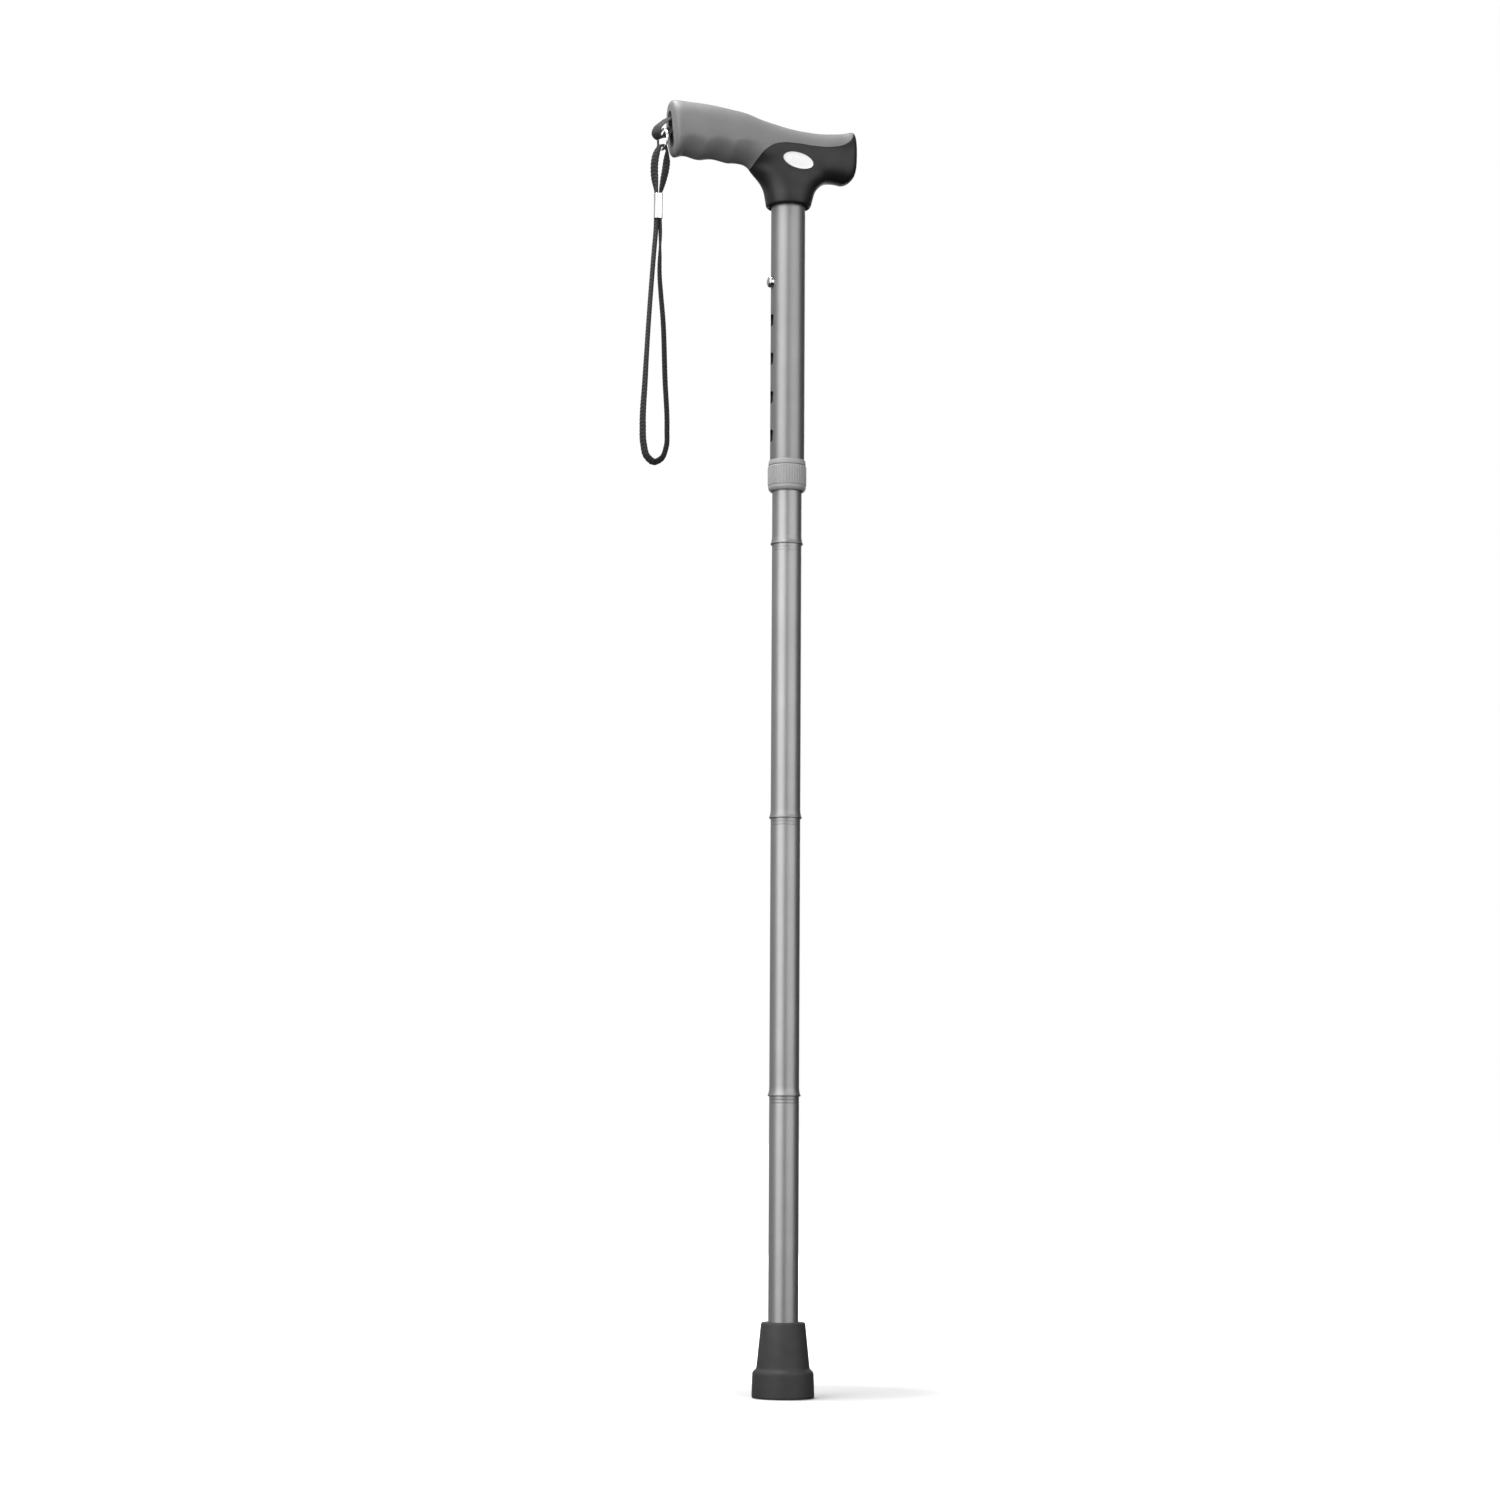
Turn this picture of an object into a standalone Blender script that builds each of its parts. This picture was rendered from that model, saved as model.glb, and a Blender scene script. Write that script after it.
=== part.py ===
"""Folding walking cane: a T-shaped handle on a telescoping, four-section aluminium shaft, with a rubber tip,
a snap button and a lock nut for its height, an elastic cord inside, and a wrist strap on a split ring.
Lengths below are millimetres; the meshes are in metres, +Z up, with the tip's tread on Z = 0."""

import math

import bmesh
import bpy
from mathutils import Matrix, Vector

MM = 0.001

# Heights of the shaft, from the floor.
JOINT_HEIGHTS = (188.3, 365.0, 542.2)
TIP_TOP = 47.0
TIP_FACET_TURN = math.radians(1.2)
LOWER_TUBE_BOTTOM = 8.1
HEIGHT_TUBE_TOP = 740.0
HANDLE_TUBE_BOTTOM = 594.6
HANDLE_TUBE_TOP = 801.0
NECK_BOTTOM = 764.4

# Tubes.
SHAFT_RADIUS = 19.05 / 2
HANDLE_TUBE_RADIUS = 22.225 / 2
WALL = 1.2
SHAFT_BORE = SHAFT_RADIUS - WALL
HANDLE_TUBE_BORE = HANDLE_TUBE_RADIUS - WALL
SLIP = 0.3
BELL_RADIUS = 10.5
BELL_HEIGHT = 5.6
NEST = 0.9
INSERT_BELOW = 30.0
INSERT_ABOVE = 40.0
INSERT_WALL = 1.4
CRIMP_DEPTH = 0.12
CRIMPS_BELOW_JOINT = (2.6, 4.6)

# Height setting: five holes and one snap button, on the -X side.
BUTTON_HEIGHT = 714.6
HOLE_PITCH = 25.4
HOLE_COUNT = 5
HOLE_RADIUS = 4.0
BUTTON_RADIUS = 3.7
BUTTON_TIP_X = -14.1

# Elastic cord.
ELASTIC_RADIUS = 2.5
ELASTIC_BOTTOM = 61.8
ELASTIC_TOP = 672.0
ELASTIC_REACH = 76.0
ANCHOR_THICKNESS = 6.0

# Handle. The rounding tables give how far in the top, the underside and the sides are, going in from an end.
GRIP_REAR_X = -79.2
BEAK_X = 44.7
REAR_ROUNDING = ((0.0, 4.2, 4.2, 4.6), (0.5, 2.4, 2.4, 2.6), (1.6, 0.9, 0.9, 1.1), (3.2, 0.2, 0.2, 0.3),
                 (5.0, 0.0, 0.0, 0.0))
BEAK_ROUNDING = ((0.0, 2.4, 7.4, 4.6), (0.5, 1.2, 5.2, 2.6), (1.6, 0.4, 3.2, 1.1), (3.2, 0.0, 1.6, 0.3),
                 (5.0, 0.0, 0.7, 0.0), (8.0, 0.0, 0.0, 0.0))
HANDLE_TOP_LINE = ((-79.2, 829.2), (-70, 828.2), (-60, 828.0), (-50, 827.5), (-40, 826.4), (-30, 825.1),
                   (-20, 822.5), (-10, 819.8), (0, 817.4), (10, 816.0), (20, 815.6), (30, 816.3), (38, 817.6),
                   (44.7, 819.8))
HANDLE_BOTTOM_LINE = ((-79.2, 791.4), (-72, 793.4), (-62, 791.6), (-52, 792.8), (-42, 791.2), (-34, 791.0),
                      (-20, 788.6), (0, 785.6), (14, 783.6), (24, 783.2), (30, 783.7), (38, 782.8),
                      (44.7, 783.8))
HANDLE_HALF_WIDTH = ((-79.2, 14.2), (-60, 14.8), (-40, 14.6), (-20, 14.3), (0, 14.6), (15, 14.2), (30, 13.0),
                     (44.7, 11.6))
HANDLE_ROUNDNESS = 2.35
NECK_OUTLINE = ((764.4, -13.9, 13.9, 13.9), (765.2, -14.6, 14.6, 14.6), (768.8, -15.1, 15.5, 15.2),
                (771.5, -15.7, 16.3, 15.3), (774.3, -16.2, 17.1, 15.3), (777.0, -17.4, 18.5, 15.2),
                (780.0, -19.2, 21.0, 15.0), (784.0, -22.9, 26.0, 14.8), (788.0, -27.2, 27.5, 14.4),
                (798.0, -26.0, 24.0, 12.0))
SEAM = ((47.6, 827.0), (44.6, 821.6), (42.9, 816.0), (40.1, 811.0), (35.3, 807.1), (27.6, 804.5),
        (14.8, 803.5), (1.1, 804.1), (-7.2, 804.0), (-14.1, 802.1), (-20.1, 797.7), (-24.8, 790.8),
        (-28.8, 782.4), (-33.1, 771.7))
SPINE_LINE = ((-73.2, 810.8, 9.5), (-66.0, 810.8, 10.0), (-40.0, 808.5, 9.5), (-20.0, 803.5, 8.0),
              (-8.0, 798.5, 5.0))
SPINE_HALF_WIDTH = 8.5
BORE_RADIUS = HANDLE_TUBE_RADIUS + SLIP
SLOT_HALF_WIDTH = 4.4
SLOT_HEIGHT = (798.4, 822.6)
SLOT_DEPTH_X = -65.5
PIN_X = -69.6
PIN_HEIGHT = 811.0
PIN_RADIUS = 1.5
BADGE_CENTRE = (2.4, 792.9)
BADGE_SIZE = (21.0, 11.0)
BADGE_TILT = math.radians(12)
BADGE_FACE_Y = -15.0

# Wrist strap.
RING_X = -85.2
RING_TOP = 809.7
RING_RADIUS = 6.6
RING_WIRE = 0.65
RING_TURN = math.radians(13)
RIBBON_HALF_WIDTH = 3.8
RIBBON_THICKNESS = 0.9
STRAP_RADIUS = 1.05
STRAP_SPACING = 6.8
FERRULE_X = -87.7
FERRULE_HEIGHTS = (750.4, 767.1)
FERRULE_SIZE = (5.5, 5.8)
FERRULE_WALL = 0.35
STRAP_LANE = 1.2


def clear_scene():
    for obj in list(bpy.data.objects):
        bpy.data.objects.remove(obj)


def material(name, colour, roughness, metallic=0.0):
    made = bpy.data.materials.new(name)
    made.use_nodes = True
    shader = made.node_tree.nodes["Principled BSDF"]
    shader.inputs["Base Color"].default_value = (*colour, 1.0)
    shader.inputs["Roughness"].default_value = roughness
    shader.inputs["Metallic"].default_value = metallic
    return made


def add_object(name, bm, finish=None):
    """A new object made from a bmesh in millimetres, with its normals facing out and round faces smooth."""
    bmesh.ops.scale(bm, vec=(MM, MM, MM), verts=bm.verts)
    bmesh.ops.recalc_face_normals(bm, faces=bm.faces)
    mesh = bpy.data.meshes.new(name)
    bm.to_mesh(mesh)
    bm.free()
    obj = bpy.data.objects.new(name, mesh)
    bpy.context.scene.collection.objects.link(obj)
    if finish:
        mesh.materials.append(finish)
    shade(obj)
    return obj


def shade(obj):
    obj.data.shade_smooth()
    obj.data.set_sharp_from_angle(angle=math.radians(35))


def hide_helper(obj):
    obj.hide_render = True
    obj.display_type = "WIRE"
    return obj


def boolean(obj, other, operation):
    """Cuts, joins or intersects obj with other, and makes the result obj's own mesh."""
    hide_helper(other)
    modifier = obj.modifiers.new(operation.title(), "BOOLEAN")
    modifier.operation = operation
    modifier.object = other
    modifier.solver = "EXACT"
    graph = bpy.context.evaluated_depsgraph_get()
    result = bpy.data.meshes.new_from_object(obj.evaluated_get(graph))
    obj.modifiers.clear()
    obj.data = result
    shade(obj)
    return obj


def set_origin(obj, point):
    """Moves obj's origin, in millimetres, and leaves its surface where it is."""
    offset = Vector(point) * MM
    for vertex in obj.data.vertices:
        vertex.co -= offset
    obj.location = offset


def spun(name, profile, finish, segments=32, closed=True, axis_x=False):
    """A round piece from (radius, height) points. A closed profile makes a ring; an open one ends on the
    axis."""
    bm = bmesh.new()
    if axis_x:
        points = [(height, radius, 0) for radius, height in profile]
    else:
        points = [(radius, 0, height) for radius, height in profile]
    verts = [bm.verts.new(point) for point in points]
    pairs = list(zip(verts, verts[1:] + verts[:1] if closed else verts[1:]))
    edges = [bm.edges.new(pair) for pair in pairs]
    bmesh.ops.spin(bm, geom=verts + edges, cent=(0, 0, 0), axis=(1, 0, 0) if axis_x else (0, 0, 1),
                   angle=math.tau, steps=segments, use_merge=True)
    bmesh.ops.remove_doubles(bm, verts=bm.verts, dist=1e-4)
    return add_object(name, bm, finish)


def extruded(name, outline, half_width, finish=None):
    """A closed (x, z) outline made solid from -half_width to half_width along Y."""
    bm = bmesh.new()
    front = bm.faces.new([bm.verts.new((x, -half_width, z)) for x, z in outline])
    made = bmesh.ops.extrude_face_region(bm, geom=[front])
    moved = [part for part in made["geom"] if isinstance(part, bmesh.types.BMVert)]
    bmesh.ops.translate(bm, vec=(0, 2 * half_width, 0), verts=moved)
    return add_object(name, bm, finish)


def lofted(name, rings, finish=None, closed=False):
    """Skin over rings of points, all with the same count. Unless the loft is closed, both ends are capped."""
    bm = bmesh.new()
    rows = [[bm.verts.new(point) for point in ring] for ring in rings]
    count = len(rows[0])
    for low, high in zip(rows, rows[1:] + rows[:1] if closed else rows[1:]):
        for i in range(count):
            j = (i + 1) % count
            bm.faces.new((low[i], low[j], high[j], high[i]))
    if not closed:
        bm.faces.new(rows[0])
        bm.faces.new(rows[-1])
    return add_object(name, bm, finish)


def smooth_value(points, at):
    """Height of a smooth curve through (x, value) points, by cubic Hermite pieces."""
    at = min(max(at, points[0][0]), points[-1][0])
    slopes = []
    for i in range(len(points)):
        before = points[max(i - 1, 0)]
        after = points[min(i + 1, len(points) - 1)]
        slopes.append((after[1] - before[1]) / (after[0] - before[0]))
    for i in range(len(points) - 1):
        x0, y0 = points[i]
        x1, y1 = points[i + 1]
        if at <= x1:
            break
    span = x1 - x0
    t = (at - x0) / span
    return (y0 * (1 + 2 * t) * (1 - t) ** 2 + slopes[i] * span * t * (1 - t) ** 2
            + y1 * t * t * (3 - 2 * t) + slopes[i + 1] * span * t * t * (t - 1))


def smooth_route(points, spacing, closed=False):
    """A smooth curve through the route's points, with more points about spacing apart where they are far."""
    points = [Vector(point) for point in points]
    count = len(points)
    spans = count if closed else count - 1
    steps = [points[(i + 1) % count] - points[i] for i in range(spans)]
    slopes = []
    for i in range(count):
        if not closed and i in (0, count - 1):
            end = steps[0] if i == 0 else steps[-1]
            slopes.append(end / end.length)
            continue
        before, after = steps[i - 1], steps[i % spans]
        slopes.append((before / before.length * after.length + after / after.length * before.length)
                      / (before.length + after.length))
    curve = []
    for i, step in enumerate(steps):
        length = step.length
        start, end = slopes[i] * length, slopes[(i + 1) % count] * length
        pieces = max(1, round(length / spacing))
        for k in range(pieces):
            t = k / pieces
            curve.append(points[i] + step * (t * t * (3 - 2 * t)) + start * (t * (1 - t) ** 2)
                         + end * (t * t * (t - 1)))
    return curve if closed else curve + [points[-1]]


def strip(name, path, half_thickness, half_width, finish, closed=False):
    """A flat strip that follows an (x, z) path, half_width to each side along Y."""
    count = len(path)
    rings = []
    for i, point in enumerate(path):
        before = path[i - 1] if closed or i else point
        after = path[(i + 1) % count] if closed or i < count - 1 else point
        along = Vector((after[0] - before[0], 0, after[1] - before[1])).normalized()
        side = Vector((-along.z, 0, along.x)) * half_thickness
        middle = Vector((point[0], 0, point[1]))
        width = Vector((0, half_width, 0))
        rings.append([middle + side - width, middle + side + width,
                      middle - side + width, middle - side - width])
    return lofted(name, rings, finish, closed)


def circle(centre, radius, count, start=0.0, turn=math.tau):
    return [(centre[0] + radius * math.cos(start + turn * i / count),
             centre[1] + radius * math.sin(start + turn * i / count)) for i in range(count)]


# Shaft.

def crimps(joint):
    """Points of a roll crimp, going up: two shallow rings pressed into a tube just below a joint."""
    points = []
    for below in reversed(CRIMPS_BELOW_JOINT):
        centre = joint - below
        points += [(SHAFT_RADIUS, centre - 0.9), (SHAFT_RADIUS - CRIMP_DEPTH, centre),
                   (SHAFT_RADIUS, centre + 0.9)]
    return points


def make_plain_tube(name, bottom, joint, finish):
    """The lowest tube: plain at its foot, crimped round the insert below the joint."""
    top = joint + NEST
    outside = [(SHAFT_RADIUS, bottom), *crimps(joint), (SHAFT_RADIUS, top)]
    return spun(name, outside + [(SHAFT_BORE, top), (SHAFT_BORE, bottom)], finish)


def make_belled_tube(name, joint, top, finish, upper_joint=None):
    """A tube whose foot is flared into a bell that sits over the tube below."""
    bell_bore = SHAFT_RADIUS + SLIP
    bell = [(bell_bore, joint), (BELL_RADIUS - 0.25, joint), (BELL_RADIUS, joint + 0.35),
            (BELL_RADIUS - 0.05, joint + 0.9), (BELL_RADIUS - 0.4, joint + 2.0),
            (SHAFT_RADIUS + 0.22, joint + 3.6), (SHAFT_RADIUS, joint + BELL_HEIGHT)]
    outside = crimps(upper_joint) if upper_joint else []
    rim = [(SHAFT_RADIUS, top), (SHAFT_BORE, top)]
    throat = [(SHAFT_BORE, joint + 3.8), (bell_bore, joint + NEST + SLIP)]
    return spun(name, bell + outside + rim + throat, finish)


def make_joint_insert(name, joint, finish):
    """The aluminium spigot inside a joint: crimped into the tube below, it slides into the tube above."""
    radius = SHAFT_BORE - SLIP
    bore = radius - INSERT_WALL
    bottom = joint - INSERT_BELOW
    top = joint + INSERT_ABOVE
    outside = [(radius, bottom), (radius, top - 4), (radius - 0.8, top)]
    return spun(name, outside + [(bore, top), (bore, bottom)], finish)


def make_rubber_tip(finish):
    """The foot. Its facets are turned a little, so the cane lies on the flat of one when it is laid down."""
    bore = SHAFT_RADIUS + SLIP
    outside = [(bore, TIP_TOP), (13.0, TIP_TOP), (13.75, 46.5), (14.05, 45.4), (16.8, 19.2), (17.2, 18.0),
               (19.0, 16.3), (19.4, 15.2), (19.75, 0.8), (19.5, 0.2), (19.1, 0.0)]
    tread = []
    for edge in (16.4, 12.8):
        tread += [(edge, 0.0), (edge - 0.3, 1.4), (edge - 1.3, 1.4), (edge - 1.6, 0.0)]
    profile = [(0.0, 6.0), (bore, 6.0)] + outside + tread + [(0.0, 0.0)]
    tip = spun("rubber_tip", profile, finish, segments=40, closed=False)
    tip.data.transform(Matrix.Rotation(TIP_FACET_TURN, 4, "Z"))
    return tip


def make_tip_washer(finish):
    profile = [(3.0, 6.3), (9.2, 6.3), (9.2, 7.8), (3.0, 7.8)]
    return spun("tip_washer", profile, finish, segments=24)


def make_elastic_cord(finish, plastic):
    """The cord that pulls the sections together, as one run to each section, and what holds its two ends."""
    ends = [ELASTIC_BOTTOM] + [joint + ELASTIC_REACH for joint in JOINT_HEIGHTS] + [ELASTIC_TOP]
    names = ("elastic_cord_lower", "elastic_cord_lower_middle", "elastic_cord_upper_middle",
             "elastic_cord_top")
    for name, bottom, top in zip(names, ends, ends[1:]):
        start = bottom if bottom == ELASTIC_BOTTOM else bottom + SLIP
        profile = [(0.0, start), (ELASTIC_RADIUS, start), (ELASTIC_RADIUS, top), (0.0, top)]
        spun(name, profile, finish, segments=12, closed=False)
    hole = ELASTIC_RADIUS + SLIP
    for name, bottom in (("cord_bottom_anchor", ELASTIC_BOTTOM + 0.7),
                         ("cord_top_anchor", ELASTIC_TOP - 0.7 - ANCHOR_THICKNESS)):
        radius = SHAFT_BORE - SLIP
        top = bottom + ANCHOR_THICKNESS
        profile = [(hole, bottom), (radius - 0.8, bottom), (radius, bottom + 0.8), (radius, top - 0.8),
                   (radius - 0.8, top), (hole, top)]
        spun(name, profile, plastic, segments=20)
    for name, centre in (("cord_bottom_knot", ELASTIC_BOTTOM - 4.1), ("cord_top_knot", ELASTIC_TOP + 4.1)):
        half = 3.8
        arc = [(4.6 * math.sin(math.pi * i / 8), centre + half * math.cos(math.pi * i / 8))
               for i in range(1, 8)]
        spun(name, [(0.0, centre + half), *arc, (0.0, centre - half)], finish, segments=12, closed=False)


# Telescoping part.

def hole_cutter(name, height, radius=HOLE_RADIUS, depth=8.0):
    """A round cutter through the -X wall of a tube."""
    start = -HANDLE_TUBE_RADIUS - 2
    profile = [(0.0, start), (radius, start), (radius, start + depth), (0.0, start + depth)]
    cutter = spun(name, profile, None, segments=16, closed=False, axis_x=True)
    cutter.location.z = height * MM
    return cutter


def make_height_tube(finish):
    tube = make_belled_tube("height_tube", JOINT_HEIGHTS[2], HEIGHT_TUBE_TOP, finish)
    return boolean(tube, hole_cutter("height_tube_hole_cutter", BUTTON_HEIGHT), "DIFFERENCE")


def make_handle_tube(finish):
    """The wide tube under the handle, with the row of height holes."""
    profile = [(HANDLE_TUBE_BORE, HANDLE_TUBE_BOTTOM), (HANDLE_TUBE_RADIUS, HANDLE_TUBE_BOTTOM),
               (HANDLE_TUBE_RADIUS, HANDLE_TUBE_TOP), (HANDLE_TUBE_BORE, HANDLE_TUBE_TOP)]
    tube = spun("handle_tube", profile, finish, segments=36)
    for i in range(HOLE_COUNT):
        boolean(tube, hole_cutter(f"height_hole_cutter_{i}", BUTTON_HEIGHT - i * HOLE_PITCH), "DIFFERENCE")
    return boolean(tube, screw_hole_cutter("tube_screw_hole_cutter", 1.9, -14.0, -6.0), "DIFFERENCE")


def make_guide_bush(finish):
    bore = 6.4
    inner = SHAFT_BORE - SLIP
    outer = HANDLE_TUBE_BORE - SLIP
    top = HEIGHT_TUBE_TOP + SLIP
    profile = [(bore, top - 12), (inner, top - 12), (inner, top), (outer, top), (outer, top + 2.2),
               (outer - 0.6, top + 2.8), (bore, top + 2.8)]
    return spun("height_tube_guide_bush", profile, finish, segments=32)


def make_snap_button(finish):
    """A domed steel pin with a flange behind it, on a thin V spring inside the height tube."""
    dome = [(BUTTON_RADIUS * math.cos(a), BUTTON_TIP_X + 1.6 - 1.6 * math.sin(a))
            for a in (math.pi / 2 * i / 5 for i in range(5))]
    profile = [(0.0, BUTTON_TIP_X), *reversed(dome), (BUTTON_RADIUS, -6.9), (4.2, -6.9), (4.2, -5.9),
               (0.0, -5.9)]
    button = spun("snap_button", profile, finish, segments=24, closed=False, axis_x=True)
    button.location.z = BUTTON_HEIGHT * MM
    return button


def make_button_spring(finish):
    low = BUTTON_HEIGHT - 24
    route = [(-5.2, 0, low + 31), (-5.1, 0, low + 20), (-4.2, 0, low + 7), (-2.4, 0, low + 1.4),
             (0.4, 0, low), (3.2, 0, low + 1.8), (5.3, 0, low + 8), (7.0, 0, low + 20), (7.2, 0, low + 31)]
    path = [(point.x, point.z) for point in smooth_route(route, 3.5)]
    return strip("button_spring", path, 0.3, 2.8, finish)


# Lock nut.

def make_collet_sleeve(finish):
    """The collar on the end of the handle tube: a smooth flange above, the nut's spigot below."""
    web = HANDLE_TUBE_BOTTOM - SLIP
    bore = SHAFT_RADIUS + SLIP
    profile = [(bore, 583.8), (11.25, 583.8), (11.25, web - 0.5), (11.9, web - 0.5), (12.1, web - 0.2),
               (12.05, 596.0), (11.8, 597.2), (BORE_RADIUS, 597.2), (BORE_RADIUS, web), (bore, web)]
    return spun("collet_sleeve", profile, finish, segments=36)


def make_compression_ring(finish):
    profile = [(SHAFT_RADIUS + SLIP, 581.0), (10.6, 581.0), (11.2, 581.7), (11.2, 582.8), (10.8, 583.5),
               (SHAFT_RADIUS + SLIP, 583.5)]
    return spun("compression_ring", profile, finish, segments=28)


def make_lock_nut(finish):
    """The turning nut, with fine upright ribs and a rolled lower lip."""
    ribs = 40
    bore = SHAFT_RADIUS + SLIP
    sleeve = 11.55
    levels = ((bore, bore, 576.9), (10.9, 10.9, 576.9), (11.8, 11.8, 578.2), (12.3, 12.3, 580.2),
              (12.35, 12.65, 581.2), (12.35, 12.65, 592.9), (12.2, 12.35, 593.5), (sleeve, sleeve, 593.5),
              (sleeve, sleeve, 580.7), (bore, bore, 580.7))
    rings = []
    for valley, crest, height in levels:
        ring = []
        for i in range(2 * ribs):
            angle = math.tau * i / (2 * ribs)
            radius = crest if i % 2 else valley
            ring.append((radius * math.cos(angle), radius * math.sin(angle), height))
        rings.append(ring)
    return lofted("lock_nut", rings, finish, closed=True)


# Handle.

def handle_ring(x, top_inset=0.0, bottom_inset=0.0, side_inset=0.0, count=24):
    """One cross-section of the handle bar: a rounded, slightly square oval."""
    top = smooth_value(HANDLE_TOP_LINE, x) - top_inset
    bottom = smooth_value(HANDLE_BOTTOM_LINE, x) + bottom_inset
    half_width = smooth_value(HANDLE_HALF_WIDTH, x) - side_inset
    middle = (top + bottom) / 2
    power = 2 / HANDLE_ROUNDNESS
    ring = []
    for i in range(count):
        angle = math.tau * i / count
        across = math.copysign(abs(math.cos(angle)) ** power, math.cos(angle))
        up = math.copysign(abs(math.sin(angle)) ** power, math.sin(angle))
        ring.append((x, half_width * across, middle + (top - middle) * up))
    return ring


def make_handle_bar(name):
    rear = [(GRIP_REAR_X + back, *insets) for back, *insets in REAR_ROUNDING]
    beak = [(BEAK_X - back, *insets) for back, *insets in reversed(BEAK_ROUNDING)]
    first = rear[-1][0]
    last = beak[0][0]
    steps = 20
    middle = [(first + (last - first) * i / steps,) for i in range(1, steps)]
    return lofted(name, [handle_ring(*row) for row in rear + middle + beak])


def make_neck(name, count=28):
    rings = []
    for height, left, right, half_width in NECK_OUTLINE:
        middle = (left + right) / 2
        rings.append([(middle + (right - left) / 2 * math.cos(math.tau * i / count),
                       half_width * math.sin(math.tau * i / count), height) for i in range(count)])
    return lofted(name, rings)


def seam_region(name, offset):
    """Everything above the line where the soft grip meets the core, moved away from the core by offset."""
    line = [(point.x, point.z) for point in smooth_route([(x, 0, z) for x, z in SEAM], 3.0)]
    moved = []
    for i, (x, z) in enumerate(line):
        before = line[max(i - 1, 0)]
        after = line[min(i + 1, len(line) - 1)]
        along = Vector((after[0] - before[0], after[1] - before[1])).normalized()
        moved.append((x + along.y * offset, z - along.x * offset))
    outline = moved + [(-100.0, moved[-1][1]), (-100.0, 860.0), (moved[0][0], 860.0)]
    return extruded(name, outline, 30.0)


def make_spine(name, grow):
    """The core's hard spine inside the soft grip, grown on all sides by grow."""
    rings = []
    for i, (x, middle, half_height) in enumerate(SPINE_LINE):
        end = grow if i == 0 else 0.0
        ring = []
        for k in range(20):
            angle = math.tau * k / 20
            ring.append((x - end, (SPINE_HALF_WIDTH + grow) * math.cos(angle),
                         middle + (half_height + grow) * math.sin(angle)))
        rings.append(ring)
    return lofted(name, rings)


def slot_cutter(name, grow=0.0):
    """The slot in the rear end of the handle that the strap's ribbon goes into."""
    low, high = SLOT_HEIGHT
    outline = []
    radius = SLOT_HALF_WIDTH + grow
    for i in range(9):
        angle = math.pi * i / 8
        outline.append((radius * math.cos(angle), high - SLOT_HALF_WIDTH + radius * math.sin(angle)))
    for i in range(9):
        angle = math.pi + math.pi * i / 8
        outline.append((radius * math.cos(angle), low + SLOT_HALF_WIDTH + radius * math.sin(angle)))
    rings = [[(x, y, z) for y, z in outline] for x in (GRIP_REAR_X - 5, SLOT_DEPTH_X)]
    return lofted(name, rings)


def pin_cutter(name, radius, half_length):
    rings = [[(x, y, z) for x, z in circle((PIN_X, PIN_HEIGHT), radius, 20)]
             for y in (-half_length, half_length)]
    return lofted(name, rings)


def bore_cutter(name):
    top = HANDLE_TUBE_TOP + SLIP
    profile = [(0.0, NECK_BOTTOM - 5), (13.2, NECK_BOTTOM - 5), (13.2, NECK_BOTTOM + 1.0),
               (BORE_RADIUS, NECK_BOTTOM + 3.0), (BORE_RADIUS, top), (0.0, top)]
    return spun(name, profile, None, segments=48, closed=False)


def screw_hole_cutter(name, radius, front, back):
    x, z = BADGE_CENTRE
    rings = [[(px, y, pz) for px, pz in circle((x, z), radius, 20)] for y in (front, back)]
    return lofted(name, rings)


def badge_ring(y, grow):
    x, z = BADGE_CENTRE
    ring = []
    for i in range(32):
        angle = math.tau * i / 32
        u = (BADGE_SIZE[0] / 2 + grow) * math.cos(angle)
        v = (BADGE_SIZE[1] / 2 + grow) * math.sin(angle)
        ring.append((x + u * math.cos(BADGE_TILT) + v * math.sin(BADGE_TILT), y,
                     z - u * math.sin(BADGE_TILT) + v * math.cos(BADGE_TILT)))
    return ring


def make_badge(finish):
    back = BADGE_FACE_Y + 1.3
    levels = ((back, -0.3), (BADGE_FACE_Y + 0.3, -0.3), (BADGE_FACE_Y, -0.7))
    return lofted("badge", [badge_ring(y, grow) for y, grow in levels], finish)


def make_handle_screw(finish):
    """A countersunk screw under the badge, from the core into the handle tube's wall."""
    x, z = BADGE_CENTRE
    levels = ((-13.1, 2.6), (-12.7, 2.6), (-12.2, 1.5), (-8.8, 1.5), (-8.4, 1.1))
    rings = [[(px, y, pz) for px, pz in circle((x, z), radius, 20)] for y, radius in levels]
    return lofted("handle_screw", rings, finish)


def make_handle_core(finish):
    core = make_handle_bar("handle_core")
    core.data.materials.append(finish)
    boolean(core, make_neck("core_neck"), "UNION")
    boolean(core, seam_region("core_seam_cutter", 0.0), "DIFFERENCE")
    boolean(core, make_spine("core_spine", 0.0), "UNION")
    boolean(core, bore_cutter("core_bore_cutter"), "DIFFERENCE")
    boolean(core, slot_cutter("core_slot_cutter"), "DIFFERENCE")
    boolean(core, pin_cutter("core_pin_cutter", PIN_RADIUS + 0.2, 12.0), "DIFFERENCE")
    pocket = lofted("badge_pocket_cutter", [badge_ring(-20.0, 0.0), badge_ring(BADGE_FACE_Y + 1.6, 0.0)])
    boolean(core, pocket, "DIFFERENCE")
    boolean(core, screw_hole_cutter("core_head_cutter", 3.0, -20.0, -12.4), "DIFFERENCE")
    return boolean(core, screw_hole_cutter("core_screw_cutter", 1.9, -20.0, -8.0), "DIFFERENCE")


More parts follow.
